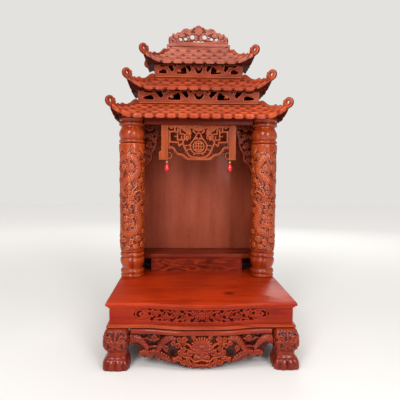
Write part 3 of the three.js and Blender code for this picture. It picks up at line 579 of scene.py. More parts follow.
board_low, board_high = box_mm("base_board_front")
half, z0, z1 = board_high[0], board_low[2], board_high[2]
BOARD_FRONT = -board_low[1] - BOW
SPRIG, VINE_DEEP, GROUND_THICK = 28, 9, 5
middle = 150.6
vine = Carving(symmetric=True)
opening = [(-9, 134), (172, 134), (184, 137), (191, middle), (184, 164), (172, 167.2), (-9, 167.2)]
vine.outline(half_board(half, z0, z1), 0, 0.8)
vine.outline(opening, remove=True)
vine.strand(curl(171.5, middle, 13.4, 12.4, 205, 0.98, 26), 2.5, -2.4, 2.8)
vine.strand(bend([(184, 144), (176, 140), (168, 144), (159, 152), (150, 160)]), (2, 2.8, 3.6), -2.4, 2.8)
vine.disc(172, middle, 5.4, -3.0, 4.6)
vine.strand(curl(160, 141, 5.5, 3, 0, 1, 16), (2, 1.6), -3.6, 3)
stalk = np.linspace(4, 156, 69)
vine.strand(np.column_stack((stalk, middle + 9 * np.sin(stalk * math.pi / SPRIG))), 2.4, -4.2, 3.2)
sprig = (
    ((-16, -3), (-9, -9), (0, -12), (9, -9)), ((-2, -12), (5, -14), (11, -17)),
    ((-8, 2), (-2, 5), (5, 3), (7, -3)), ((-11, 5), (-8, 12), (-1, 15), (5, 13)), ((2, 6), (8, 9), (13, 15)),
    ((-13, -6), (-15, -12), (-20, -16)), ((8, -2), (12, -6), (18, -5)),
)
for i in range(6):
    x, up = SPRIG * (i + 0.5), 1 if i % 2 else -1
    for leaf in sprig:
        vine.strand(bend([(x + u, middle - up * w) for u, w in leaf]), (1.0, 3.0, 2.6, 0.7),
                    -4.4 + 0.5 * (i % 3), 3.6, 0.7)
    vine.strand(curl(x - 1, middle + 2 * up, 5.2, 2.6, 90 * up, -0.9 * up, 16), (2.2, 1.4), -3.4, 3.0)
    vine.disc(x - 1, middle + 2 * up, 2.4, -2.6, 3.4)
for angle in np.radians((90, 45, 0, -45, -90)):
    vine.strand([(0, middle), (12 * math.cos(angle), middle + 12 * math.sin(angle))], (2, 4.0, 1.2), -2.6,
                3.0, 0.8)
vine.disc(0, middle, 4.2, -1.2, 3.2)
ground = Carving(symmetric=True)
ground.outline(half_board(half, z0, z1), -VINE_DEEP, 0)
vine_bm = put_together([
    carve(vine, (-half, half), (z0, z1), swollen_face(BOARD_FRONT), cell=1.5, thick=VINE_DEEP, low=-6,
          high=1.2),
    carve(ground, (-half, half), (z0, z1), swollen_face(BOARD_FRONT), cell=5, thick=VINE_DEEP + GROUND_THICK,
          low=-VINE_DEEP, high=-VINE_DEEP + 0.01),
])
set_in_place(vine_bm, "base_board_front_carved", board_wood, "hardwood", "base_board_front", crease=60)

# ---- Plain boards of the base and the niche ------------------------------------------------------
# Flat sawn boards with eased edges: the sides and back of the base, and the lining, shelf and
# head rail of the niche. They are glued up, sanded and varnished.
niche_wood = varnished_wood(
    "niche_lining_wood", (0.29, 0.052, 0.022), (0.335, 0.066, 0.030), (0.37, 0.078, 0.038), grain=(5, 5, 0.7),
    gloss=0.5, figure=0.3,
)
figured_wood = varnished_wood(
    "figured_riser_wood", (0.07, 0.004, 0.001), (0.20, 0.013, 0.003), (0.38, 0.044, 0.008),
    grain=(2.4, 2.4, 7), gloss=0.3, figure=2.2,
)


def eased_board(node, finish, slot, ease=1.5):
    """A plain board of the node's own size, with its edges eased."""
    low, high = box_mm(node)
    bm = bmesh.new()
    bmesh.ops.create_cube(bm, size=1)
    bmesh.ops.scale(bm, vec=high - low, verts=bm.verts)
    bmesh.ops.translate(bm, vec=(low + high) / 2, verts=bm.verts)
    bmesh.ops.bevel(bm, geom=bm.edges[:], offset=ease, segments=3, profile=0.5, affect="EDGES", material=-1)
    return set_in_place(bm, node + "_eased", finish, slot, node)


for side in ("left", "right", "rear"):
    eased_board("base_board_" + side, board_wood, "hardwood", 1.0)
# a darker wood whose colour is painted shadow, for the head rail under the eave and the shelf in the niche
painted_shadow_wood = varnished_wood(
    "painted_shadow_niche_wood", (0.09, 0.006, 0.002), (0.17, 0.014, 0.004), (0.24, 0.028, 0.008), grain=(1, 8, 8),
    gloss=0.32, shine=0.05,
)
eased_board("lintel", painted_shadow_wood, "hardwood")
eased_board("step_board", painted_shadow_wood, "hardwood", 2.2)
for node in ("side_panel_left", "side_panel_right", "back_panel", "ceiling_board"):
    eased_board(node, niche_wood, "panel_wood", 0.8)
# the riser keeps its plain shape, and only takes on its wood
riser_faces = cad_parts["step_riser"].data.materials
riser_faces.clear()
riser_faces.append(figured_wood)

# ---- Legs ----------------------------------------------------------------------------------------
# Each leg is one block: a knee covered in the curls of a mane, a narrow ankle, and a paw with
# fluted toes and a claw. The front pair is carved deeper and finer than the rear pair.
leg_wood = varnished_wood(
    "leg_wood", (0.15, 0.007, 0.001), (0.23, 0.013, 0.001), (0.30, 0.030, 0.004), grain=(6, 6, 1.5),
    gloss=0.22, shine=0.4,
)
LEG_X, LEG_Y, LEG_TOP = 238.3, 241.7, box_mm("leg_front_left")[1][2]
KNEE_FROM, KNEE_ROUND, TOES_TO, SQUARENESS = 52, 36, 36, 4.4
# height, half the width, and how far the leg leans out there
leg_profile = np.array([
    (0, 36.2, 0), (3, 37.6, 0), (8, 38.3, 0), (16, 38, 0), (21, 36.6, -0.2), (27, 34, -0.5), (33, 29.8, -2),
    (39, 28, -2.6), (48, 28.4, -2.5), (54, 30.5, -1.2), (58, 33.8, 0), (64, 35.8, 0.2), (72, 36.6, 0.4),
    (84, 36.5, 0.4), (93, 35.8, 0.2), (100, 34, -0.4), (106, 32.6, -1.4), (LEG_TOP, 29, -3),
])


def wrapped(around, upward, surface):
    """A skin bent right round: surface takes the angle and the share of the height, and gives
    each point's place, how much painted shade it gets, and how far the carving stands out there."""
    bm = bmesh.new()
    bmesh.ops.create_grid(bm, x_segments=around, y_segments=upward, size=1)
    shade = bm.verts.layers.float.new("painted_shading")
    at = np.array([v.co[:2] for v in bm.verts])
    x, y, z, shadow, height = surface(at[:, 0] * math.pi, (at[:, 1] + 1) / 2)
    # more painted shade in recesses, and painted highlight on ridges
    shadow = np.clip(shadow + 0.6 * recess(bm, height), -0.6, 0.95)
    for v, px, py, pz, dark in zip(bm.verts, x, y, z, shadow):
        v.co = (px, py, pz)
        v[shade] = float(dark)
    bmesh.ops.remove_doubles(bm, verts=bm.verts, dist=0.002)
    bmesh.ops.holes_fill(bm, edges=[e for e in bm.edges if e.is_boundary], sides=0)
    return bm


# the mane laid out flat: across the knee from its middle, and height
mane = Carving()
mane.disc(0, 78, 90, 1.2, 0)
for s in (-1, 1):
    for x, z, r, start, way in (
        (17, 90, 10, 220, 1), (9, 74, 5, 60, -1), (27, 71, 8.5, 140, -1), (12, 60, 6.5, 120, 1),
        (36, 93, 8, 220, -1), (44, 78, 8.5, 180, 1), (41, 61, 7.5, 160, -1), (58, 92, 8.5, 200, 1),
        (60, 73, 9, 170, -1), (58, 57, 6, 150, 1), (27, 56, 5, 90, 1), (31, 104, 5, 30, 1),
        (48, 103, 5.5, 10, -1), (75, 84, 8, 40, 1), (77, 64, 8, 120, -1),
    ):
        first = start if s > 0 else 180 - start
        mane.strand(curl(s * x, z, r, 1.4, first, way * s * 1.5, 24), (3.2, 1.9), 0.8, 4.0)
    # the lines of a brow, a nose and a mouth in the middle of the mane
    mane.strand(bend([(s * 1, 86), (s * 4, 80), (s * 11, 81), (s * 20, 78), (s * 30, 82)]),
                (1.4, 2.8, 2.8, 2, 0.8), 2.2, 2.8)
    mane.disc(s * 5.2, 66, 5.2, 2.4, 2.6, flat=0.8)
    mane.strand(bend([(s * 2, 57), (s * 8, 53), (s * 17, 54), (s * 24, 63)]), (1.4, 2.4, 2.4, 0.8), 2.0, 2.6)
    # a fringe of scallops along the top
    for x in (6, 16, 27, 40, 54, 68):
        mane.strand(bend([(s * (x - 6), 104), (s * x, 109), (s * (x + 6), 103)]), (1, 2.6, 1), 1.6, 2.4)
mane.strand([(0, 99), (0, 70)], (4.4, 2.8), 2.0, 3.0, 1.2)
mane.disc(0, 103, 6, 1.4, 3.2)


def leg_skin(side_x, side_y, deep):
    """The surface of one leg, with its mane cut deep millimetres into the knee."""
    facing = -math.pi / 2 if side_y < 0 else math.pi / 2

    def skin(angle, share):
        z = share * LEG_TOP
        half = np.interp(z, leg_profile[:, 0], leg_profile[:, 1])
        lean = np.interp(z, leg_profile[:, 0], leg_profile[:, 2])
        c, s = np.cos(angle), np.sin(angle)
        reach = 1 / (np.abs(c) ** SQUARENESS + np.abs(s) ** SQUARENESS) ** (1 / SQUARENESS)
        turn = (angle - facing + math.pi) % (2 * math.pi) - math.pi
        _, carved = mane.read(turn * KNEE_ROUND, z)
        knee = np.clip((z - KNEE_FROM) / 6, 0, 1) * np.clip((LEG_TOP - z) / 5, 0, 1)
        carved = np.clip(carved, 0, 5) / 5
        depth = knee * deep * (1 - carved)
        toe = np.abs(np.sin(turn * 6)) ** 0.45
        low = np.clip((TOES_TO - z) / 16, 0, 1)
        depth = depth + low * 3.2 * (1 - toe)
        crease = np.exp(-(((z - 12 - 4 * np.cos(turn * 12)) / 1.6) ** 2))
        depth = depth + low * 1.1 * crease
        claw = np.exp(-((turn * KNEE_ROUND / 5.5) ** 2)) * np.clip((13 - z) / 6, 0, 1)
        depth = depth - 0.8 * claw
        r = (half - np.clip(depth, 0, 8)) * reach
        # painted shade in the low parts of the knee's carving, between the toes and in the crease over them
        dark = np.clip(knee * (1 - carved) * 0.75 + low * (1 - toe) * 0.6 + low * crease * 0.2, 0, 0.8)
        x = side_x * (LEG_X + lean) + r * c
        y = side_y * (LEG_Y + lean) + r * s
        return x, y, z, dark, -depth

    return skin


for row, side_y, deep, around, upward in (("front", -1, 5.5, 160, 80), ("rear", 1, 3.2, 100, 50)):
    for side, side_x in (("left", -1), ("right", 1)):
        leg_bm = wrapped(around, upward, leg_skin(side_x, side_y, deep))
        set_in_place(leg_bm, f"leg_{row}_{side}_carved", leg_wood, "hardwood", f"leg_{row}_{side}", crease=70)

# ---- Front apron ---------------------------------------------------------------------------------
# The front apron is carved from thick stock: a lion mask in the middle, a scaly dragon that
# arches in from each knee, clouds and scrolls, and gaps sawn through between them.
apron_wood = varnished_wood(
    "apron_wood", (0.15, 0.006, 0.001), (0.25, 0.016, 0.002), (0.33, 0.036, 0.006), grain=(1.5, 6, 6),
    gloss=0.22, shine=0.34,
)
apron_low, apron_high = box_mm("apron_front")
APRON_X, APRON_FRONT, APRON_THICK, RAIL_Z = apron_high[0], 254, 14, 96.5
apron = Carving(symmetric=True)
lower_edge = [
    (-8, 3.5), (22, 4.5), (36, 8), (57, 10), (70, 18), (106, 20), (122, 26), (132, 34), (137, 30),
    (145, 28.5), (160, 28), (170, 33), (176, 42), (178, 52), (190, 67), (APRON_X, 66),
]
apron.outline(lower_edge + [(APRON_X, RAIL_Z + 1), (-8, RAIL_Z + 1)], -2.5, 2)
# the gaps that are sawn through
for gap in (
    [(160, 66), (151, 75), (140, 78), (126, 76), (118, 68), (124, 64), (143, 62)],
    [(84, 38), (90, 46), (84, 55), (74, 56), (69, 48), (75, 39)],
    [(172, 91), (160, 96), (152, 92), (160, 85)],
    [(118, 96), (106, 96), (104, 90), (112, 87)],
    [(92, 96), (76, 96), (78, 92), (88, 91)],
):
    apron.outline(closed_curve(gap), remove=True)
# the dragon's tail, the arch of its back and its neck, with a row of fins
apron.strand(bend([(202, 80), (188, 84), (174, 80), (162, 70), (152, 58)]), (15, 14, 12, 9.5, 8), -2, 8.5,
             scales=7)
apron.strand(bend([(122, 52), (114, 66), (104, 80), (90, 89), (76, 88)]), (8, 10, 11.5, 11, 7), -2, 8,
             scales=7)
apron.strand(bend([(168, 42), (156, 44), (146, 36), (132, 46), (118, 40), (104, 31), (88, 25)]),
             (9, 11, 8, 10, 10, 9, 6), -2, 7, scales=6)
for x in np.linspace(92, 168, 13):
    apron.disc(x, 33 + 17 * math.sin((x - 88) / 84 * math.pi), 2.7, 2.5, 3.0)
# clouds and scrolls between the coils and round the mask
apron.strand(curl(131, 88, 9.5, 1.8, 200, 1.6, 30), (3.2, 2.0), -0.5, 5.5)
apron.strand(bend([(118, 86), (128, 79), (142, 80), (154, 86), (166, 82)]), (1.5, 3.2, 3.4, 2.6, 1), -1, 5)
apron.strand(bend([(112, 60), (124, 62), (138, 62), (152, 58)]), (2, 4, 4, 2), -1.5, 5)
apron.strand(curl(160, 43, 7.5, 1.8, 20, 1.4, 22), (2.6, 1.8), 1.0, 4.5)
apron.strand(curl(120, 34, 7, 1.6, 120, -1.5, 22), (2.6, 1.6), 1.0, 4.5)
apron.strand(curl(98, 60, 8, 1.8, 260, 1.4, 22), (3, 1.8), -0.5, 5)
for x, z, r, start, way in (
    (62, 88, 8, 160, 1), (66, 70, 8.5, 200, -1), (60, 52, 8, 150, 1), (64, 33, 8, 180, -1),
    (47, 91, 7, 200, 1), (50, 77, 7.5, 20, 1), (50, 62, 7, 10, -1), (47, 42, 7.5, 40, 1), (50, 24, 8, 20, -1),
    (35, 18, 7, 30, 1), (80, 76, 6.5, 90, 1), (76, 29, 6.5, 60, 1), (24, 93, 6, 40, 1), (37, 30, 6, 120, -1),
):
    apron.strand(curl(x, z, r, 1.4, start, way * 1.5, 24), (2.9, 1.8), 0.5, 6)
# the lion's head with a fan of locks, then its brow, eyes, cheeks, nose, mouth, teeth and chin
apron.disc(0, 60, 31, 0.5, 6.5, flat=1.1)
for lock in np.radians(range(0, 91, 15)):
    out, upward = math.sin(lock), math.cos(lock)
    path = bend([(9 * out, 64 + 9 * upward), (19 * out, 65 + 17 * upward), (27 * out, 63 + 27 * upward)])
    apron.strand(path, (1.2, 2.6, 2.0), 4.6, 3.0, 0.8)
    apron.disc(30.5 * out, 62 + 30.5 * upward, 2.6, 3.0, 3.4)
apron.disc(0, 66, 8, 6.0, 3.6, flat=0.8)
apron.strand(bend([(2, 57), (10, 61), (19, 60), (28, 65), (36, 74), (46, 78)]), (2.2, 3.4, 3.8, 3.2, 2.6, 1),
             5.4, 4)
apron.strand(bend([(6, 52), (14, 54), (24, 53), (33, 58), (44, 62)]), (1.6, 2.6, 2.6, 2.2, 1), 4.8, 3.4)
apron.disc(14, 49.5, 4.0, 5.4, 3.2, flat=0.8)
apron.strand(curl(32, 49, 9, 1.6, 120, -1.6, 30), (3.0, 2.0), 2.6, 5)
apron.strand(curl(53, 47, 8, 1.5, 100, -1.5, 26), (2.8, 1.8), 1.6, 5)
apron.strand([(0, 58), (0, 42)], (3.0, 4.6), 6, 3.4, 0.8)
apron.disc(0, 40, 7.4, 6.4, 3.4, flat=0.72)
apron.disc(7.4, 38, 4.2, 5.6, 3.6, flat=0.85)
apron.strand(curl(17, 37, 6.4, 1.4, 200, -1.4, 22), (2.4, 1.8), 3.4, 4.4)
apron.strand(bend([(1, 31), (9, 29), (17, 27), (25, 30), (32, 37), (42, 38)]), (2.4, 3, 2.6, 2.4, 2.0, 1),
             4.8, 3.8)
for x in (3.0, 8.6, 14.0, 19.0):
    apron.strand([(x, 26), (x * 1.02, 20.5)], (1.9, 0.8), 3.4, 3.0)
apron.strand(bend([(0, 15.5), (10, 15), (18, 18), (25, 25)]), (2.8, 3, 2.6, 1.2), 3.8, 3.6)
apron.disc(0, 9.4, 9, 2.8, 4.2, flat=0.5)
apron.strand(bend([(12, 12), (22, 13), (32, 22), (42, 26)]), (2.6, 3.2, 2.8, 1), 2.6, 3.8)
apron.strand(bend([(24, 8), (34, 12), (44, 18), (56, 18)]), (2.2, 3, 2.6, 1), 1.8, 3.6)
apron.outline(half_board(APRON_X, RAIL_Z, LEG_TOP), 6, 5)
apron_bm = carve(apron, (-APRON_X, APRON_X), (apron_low[2], LEG_TOP), swollen_face(APRON_FRONT), cell=1.5,
                 thick=APRON_THICK, low=-2.5, high=10)
set_in_place(apron_bm, "apron_front_carved", apron_wood, "hardwood", "apron_front", crease=60)

# ---- Side and rear aprons ------------------------------------------------------------------------
# The other three aprons are boards with the same rail, cut to a cloud outline and carved only
# with a raised edge, a wave and scrolls. They are let in between the legs.
LEG_HALF, PLAIN_LOW = 38.6, 32


def turn_round(bm, angle):
    """Turns a piece about the upright line through the origin."""
    bmesh.ops.rotate(bm, cent=(0, 0, 0), matrix=Matrix.Rotation(angle, 3, "Z"), verts=bm.verts)


for name, reach, face_out, turn in (
    ("right", LEG_Y - LEG_HALF, LEG_X + 18, math.pi / 2),
    ("left", LEG_Y - LEG_HALF, LEG_X + 18, -math.pi / 2),
    ("rear", APRON_X, LEG_Y + 12, math.pi),
):
    cloud_edge = [
        (-8, 58), (18, 57), (40, 52), (56, 47), (70, 40), (84, 35), (95, 34), (108, 37), (120, 42), (130, 38),
        (140, 32), (150, 33), (160, 40), (168, 50), (176, 60), (reach, 66),
    ]
    plain = Carving(symmetric=True)
    plain.outline(cloud_edge + [(reach, RAIL_Z + 1), (-8, RAIL_Z + 1)], -1.5, 1.5)
    plain.strand(bend([(x, z + 3.4) for x, z in cloud_edge]), 3.4, -1.5, 3)
    plain.strand(curl(104, 66, 17, 3, 200, 1.7, 40), (5, 2.6), -1.5, 4)
    plain.strand(bend([(88, 70), (66, 62), (46, 74), (22, 66), (4, 76)]), (4, 4.5, 4, 3, 2), -1.5, 4)
    plain.strand(bend([(120, 68), (136, 60), (152, 70), (168, 76)]), (3.5, 4.5, 4, 2), -1.5, 4)
    plain.strand(curl(146, 50, 9, 2, 90, -1.5, 26), (3, 2), -1.5, 3.6)
    plain.disc(0, 78, 9, -1.5, 4)
    plain.outline(half_board(reach, RAIL_Z, LEG_TOP), 3, 4)
    plain_bm = carve(plain, (-reach, reach), (PLAIN_LOW, LEG_TOP), flat_face(-face_out), cell=2.6,
                     thick=APRON_THICK, low=-2, high=3)
    turn_round(plain_bm, turn)
    set_in_place(plain_bm, f"apron_{name}_carved", apron_wood, "hardwood", f"apron_{name}", crease=60)

# ---- Columns -------------------------------------------------------------------------------------
# Each column is turned from one billet: rings and a vase at both ends, and between them a
# shaft carved with a dragon that coils through clouds below a collar of pointed petals.
column_wood = varnished_wood(
    "column_wood", (0.24, 0.018, 0.003), (0.38, 0.044, 0.007), (0.47, 0.085, 0.016), grain=(7, 7, 1.2),
    gloss=0.2, shine=0.45,
)
column_low, column_high = box_mm("column_left")
COLUMN_FOOT, COLUMN_HEAD = column_low[2], column_high[2]
COLUMN_X, COLUMN_Y, SHAFT_FROM, SHAFT_TO, SHAFT_ROUND, STOCK_ROUND = 229.3, 51, 277, 646, 43, 44.1
PETALS, PETALS_FROM, PETAL_ROOT, PETAL_LONG, CARVED_TO = 8, 600, 636, 24, 622


def bead(z0, z1, radius, bulge):
    """The section of a turned ring."""
    t = np.linspace(0, math.pi, 9)
    return [((z0 + z1) / 2 - (z1 - z0) / 2 * math.cos(a), radius + bulge * math.sin(a)) for a in t]


# the turned outline from the foot up: height and radius
turning = [(COLUMN_FOOT, 38.6)] + bead(COLUMN_FOOT + 0.4, 195, 38, 2.2) + [(196.5, 36.6)]
turning += bead(197.5, 212.5, 37, 3.6) + [(214, 34.8), (216.5, 34.4)]
turning += [(222, 36.2), (230, 39.6), (238, 41.8), (244, 42.3), (249, 41.4), (253, 39)] + [(255.5, 37.4)]
turning += bead(257, 271, 38, 3.8) + [(272.5, 37.8), (274, 39.2), (277, 41)]
turning += [(SHAFT_FROM + 4, 40.6), (SHAFT_TO - 30, 40.6), (SHAFT_TO - 2, 42.4), (SHAFT_TO, 41)]
turning += [(647.5, 38.6)] + bead(648.5, 659.5, 39.5, 4.4) + [(661, 38.6), (663, 39.4)]
turning += [(668, 41.6), (674, 43.5), (680, 43.6), (688, 41.6), (696, 37.6), (702, 35.2), (705, 35.6)]
turning += bead(705.5, 717.5, 39, 4.6) + [(719.5, 38.4), (721.5, 38.2)]
turning += bead(722.5, COLUMN_HEAD - 1.5, 39.6, 3.2) + [(COLUMN_HEAD, 40)]
turning = np.array(turning)

# the shaft laid out flat: across from the side that faces forward, and height
dragon = Carving()
scaled = dict(base=0.3, rise=2.3, scales=7)
dragon.strand(bend([(-62, 560), (-44, 590), (-14, 602), (16, 592), (32, 566), (22, 540), (-6, 526),
                    (-30, 512), (-36, 488), (-20, 470)]), (7, 9, 10, 10.5, 11, 11.5, 11.5, 11, 9.5, 8),
              **scaled)
dragon.strand(bend([(46, 452), (28, 436), (22, 414), (34, 398), (38, 374), (22, 350), (-8, 338), (-34, 346),
                    (-52, 366)]), (6, 9, 10, 11, 12, 12, 11, 9, 7), **scaled)
dragon.strand(bend([(86, 330), (104, 360), (92, 396), (70, 420), (84, 452), (110, 470), (104, 506),
                    (80, 530)]), (6, 9, 11, 12, 12, 11, 9, 6), **scaled)
dragon.strand(bend([(-118, 560), (-96, 530), (-78, 500), (-92, 466), (-112, 440), (-100, 404), (-78, 380)]),
              (6, 9, 11, 12, 12, 10, 6), **scaled)
# its head, eye, snout and teeth, then its horns, whiskers and chin
dragon.disc(2, 462, 12, 1.0, 2.2, flat=0.8)
dragon.disc(-10, 454, 7.5, 1.2, 2.0, flat=0.8)
dragon.disc(-3, 466, 2.8, 2.6, 1.0)
dragon.strand(curl(-3, 466, 4.6, 4.2, 20, 0.8, 16), 1.3, 2.2, 1.2)
dragon.strand(curl(-15, 456, 3.2, 1.2, 0, 1.2, 14), 1.4, 1.6, 1.4)
for u in (-12, -6, 0, 6):
    dragon.strand([(u, 449), (u + 1, 444)], (1.5, 0.6), 1.6, 1.4)
dragon.strand(bend([(8, 470), (20, 482), (34, 486), (44, 478)]), (3, 3.4, 2.6, 1), 1.2, 3)
dragon.strand(bend([(4, 474), (10, 490), (22, 500)]), (2.8, 2.6, 1), 1.2, 3)
dragon.strand(bend([(-14, 450), (-26, 442), (-36, 448), (-34, 458)]), (2, 2.4, 2, 1), 1.0, 2.8)
dragon.strand(bend([(-8, 446), (2, 440), (12, 446)]), (2, 3, 1.4), 1.4, 2.8)
# clouds between the coils, each with a trailing wisp
for x, z, r, start, way in (
    (-24, 566, 9, 40, 1), (4, 566, 9, 220, -1), (-40, 540, 8, 0, 1), (42, 524, 9, 180, 1),
    (26, 508, 8, 40, -1), (-6, 500, 8, 300, 1), (-46, 432, 9, 60, 1), (-22, 420, 9, 10, -1),
    (2, 400, 9, 200, 1), (-20, 390, 8, 100, -1), (-42, 400, 8, 0, 1), (4, 372, 9, 160, 1),
    (-16, 366, 8, 20, 1), (50, 420, 8, 180, -1), (52, 346, 8, 150, 1), (28, 322, 9, 200, -1),
    (2, 310, 9, 40, 1), (-26, 318, 9, 140, 1), (-52, 330, 8, 0, -1), (16, 296, 8, 180, 1),
    (-12, 292, 8, 20, -1), (44, 300, 8, 90, 1), (-42, 298, 8, 120, 1), (58, 560, 9, 150, 1),
    (66, 590, 9, 200, -1), (-84, 590, 9, 30, 1), (-88, 340, 9, 60, -1), (-70, 306, 9, 10, 1),
    (72, 312, 9, 180, 1), (108, 320, 9, 90, -1), (-112, 306, 9, 45, 1), (62, 480, 9, 0, 1),
    (118, 590, 9, 90, 1), (120, 430, 8, 30, 1), (96, 556, 9, 200, 1), (-118, 500, 8, 60, 1),
    (-118, 360, 8, 60, -1), (-58, 520, 9, 200, -1), (-62, 468, 8, 20, 1), (30, 610, 7, 0, 1),
):
    dragon.strand(curl(x, z, r, 1.5, start, way * 1.5, 22), (2.6, 1.7), 0.4, 3.0)
    wisp = bend([(x - r - 8, z - 4), (x - r * 0.4, z - r), (x + r + 2, z - r * 0.6)])
    dragon.strand(wisp, (0.8, 2.2, 0.8), 0.2, 2.4)
# a bed of small curls and wisps behind them, which covers the ground
for row, z in enumerate(np.arange(288, 616, 13)):
    for place, x in enumerate(np.arange(-132, 134, 15)):
        cx = x + 7.5 * (row % 2) + 2 * math.sin(row * 2.1 + place)
        cz = z + 2.4 * math.sin(place * 1.7 + row)
        way = 1 if (row + place) % 2 else -1
        start = 90 + 70 * math.sin(row + place * 2.3)
        dragon.strand(curl(cx, cz, 5.6, 1.2, start, way * 1.25, 14), (2.2, 1.3), -0.3, 2.0)
        wisp = [(cx - way * 9, cz - 4.5), (cx - way * 3, cz - 7), (cx + way * 4, cz - 5.5)]
        dragon.strand(wisp, (0.7, 1.7, 0.7), -0.3, 1.8)


def column_skin(side):
    """The surface of one column: the right one is the left one's mirror image."""
    petal_wide = SHAFT_ROUND * 2 * math.pi / PETALS

    def skin(angle, share):
        z = COLUMN_FOOT + share * (COLUMN_HEAD - COLUMN_FOOT)
        r = np.interp(z, turning[:, 0], turning[:, 1])
        flat = ((angle + math.pi / 2 + math.pi) % (2 * math.pi) - math.pi) * SHAFT_ROUND * -side
        _, carved = dragon.read(flat, z)
        on_shaft = np.clip((z - SHAFT_FROM - 2) / 6, 0, 1) * np.clip((CARVED_TO - z) / 4, 0, 1)
        carved = np.clip(carved, -0.3, 3.6) * on_shaft
        petal = np.abs((flat / petal_wide) % 1 - 0.5) * 2
        petal_edge = PETAL_ROOT - PETAL_LONG * (1 - petal**2.2)
        at_petals = (z < SHAFT_TO - 1) * (z > PETALS_FROM)
        collar = np.clip((z - petal_edge) / 1.2, 0, 1) * at_petals
        lip = np.exp(-(((z - petal_edge - 3) / 2.2) ** 2)) * at_petals
        carved = np.where(collar > 0.5, 2.6 - 1.3 * petal**3 + 0.5 * lip, carved)
        # painted shade on the low ground of the carving, and below in the creases between the turned rings
        dark = on_shaft * np.clip(0.75 - carved * 0.42, 0, 0.72) * (1 - collar)
        groove = np.interp(z, [196, 196.6, 197.2], [0, 1, 0]) + np.exp(-(((z - 214.8) / 1.4) ** 2))
        for ring in (255.5, 272.8, 647.3, 661.2, 704.6, 720):
            groove = groove + np.exp(-(((z - ring) / 1.3) ** 2))
        r = np.minimum(r + carved, STOCK_ROUND)
        x = side * COLUMN_X + r * np.cos(angle)
        return x, COLUMN_Y + r * np.sin(angle), z, np.clip(dark + 0.55 * groove, 0, 0.8), carved

    return skin


for side, sign in (("left", -1), ("right", 1)):
    column_bm = wrapped(150, 300, column_skin(sign))
    set_in_place(column_bm, f"column_{side}_carved", column_wood, "hardwood", f"column_{side}", crease=70)

# ---- Hanging screen ------------------------------------------------------------------------------
# The screen under the head rail is sawn from one board: rounded bars, frets and scrolls round
# a medallion with a plain crossed fret, and a border that dips like a cloud along the bottom.
screen_wood = varnished_wood(
    "screen_wood", (0.24, 0.030, 0.008), (0.38, 0.062, 0.016), (0.48, 0.105, 0.034), grain=(1.5, 6, 6),
    gloss=0.26,
)
screen_low, screen_high = box_mm("lambrequin")
screen_half, SCREEN_TOP = screen_high[0], screen_high[2]
screen = Carving(symmetric=True)
bar = dict(base=-1.6, rise=2.4)
# the top bar and the angular fret at each end
screen.strand([(-8, 706), (screen_half, 706)], 5.2, **bar)
screen.strand([(82, 708), (82, 688), (99, 688), (99, 652), (70, 652)], 3.4, **bar)
screen.strand([(screen_half, 690), (screen_half, 640)], 4, **bar)
screen.strand([(91, 706), (91, 699), (96, 699)], 2.4, **bar)
screen.strand([(82, 687), (72, 687), (72, 660), (58, 660), (58, 672)], 3.0, **bar)
screen.strand([(72, 697), (72, 692), (63, 692), (63, 680), (52, 680)], 3.0, **bar)
screen.strand([(82, 672), (72, 672)], 2.4, **bar)
screen.strand([(72, 706), (63, 697), (63, 692)], 2.6, **bar)
# two hanging leaves and the ribbon over the medallion
screen.strand(bend([(58, 704), (50, 696), (42, 690), (34, 682), (30, 674)]), (6, 6.5, 5, 2.5), -1.2, 3, 0.6)
screen.strand(bend([(44, 704), (36, 698), (30, 690), (27, 680)]), (5, 5.5, 4.4, 2), -1.2, 3, 0.6)
screen.strand(bend([(30, 705), (22, 702), (14, 706)]), (4, 4.6, 3), -1.2, 3)
screen.strand(bend([(-2, 694), (8, 694), (13, 702), (18, 690), (10, 683)]), (5, 4, 3.5, 3.4, 2), -1.0, 3)
screen.disc(0, 699, 9, -0.6, 2.6)
# the scroll, its long curve round the middle, and the medallion in its eight-sided frame
screen.strand(curl(39, 670, 11, 9.4, -150, -0.86, 26), (2.4, 3.2), **bar)
screen.disc(39, 669, 6.8, -1.6, 4.4)
screen.strand(bend([(48, 664), (54, 652), (50, 640), (45, 628), (38, 614), (26, 603), (10, 600), (-6, 600)]),
              (3.2, 3.4, 3.6, 3.6, 3.8, 3.6, 3), -1.4, 2.8)
screen.strand(bend([(-4, 688), (4, 682), (11, 670), (17, 660), (26, 649), (29, 640), (25, 626), (16, 616),
                    (-4, 613)]), 2.7, **bar)
screen.strand([(-4, 663), (13, 663)], 2.0, **bar)
screen.strand([(17, 660), (4, 668)], 2.0, **bar)
screen.strand(curl(0, 638, 18.5, 18.5, 0, 1, 40), 2.4, -1.6, 2.6)
screen.strand([(0, 656), (0, 620)], 2.5, -1.6, 2.4)
for z, reach in ((648, 12), (638, 16), (627, 12)):
    screen.strand([(-4, z), (reach, z)], 2.1, -1.6, 2.2)
screen.strand([(8.5, 652), (8.5, 623)], 2.0, -1.6, 2.2)
screen.disc(15, 611, 3.4, -1.4, 3)
screen.strand(bend([(26, 640), (34, 642), (44, 640)]), 2.2, **bar)
screen.strand(bend([(25, 626), (33, 628), (40, 622)]), 2.2, **bar)
screen.strand(bend([(48, 640), (58, 646), (66, 640), (70, 652)]), (2.4, 3, 2.4), **bar)
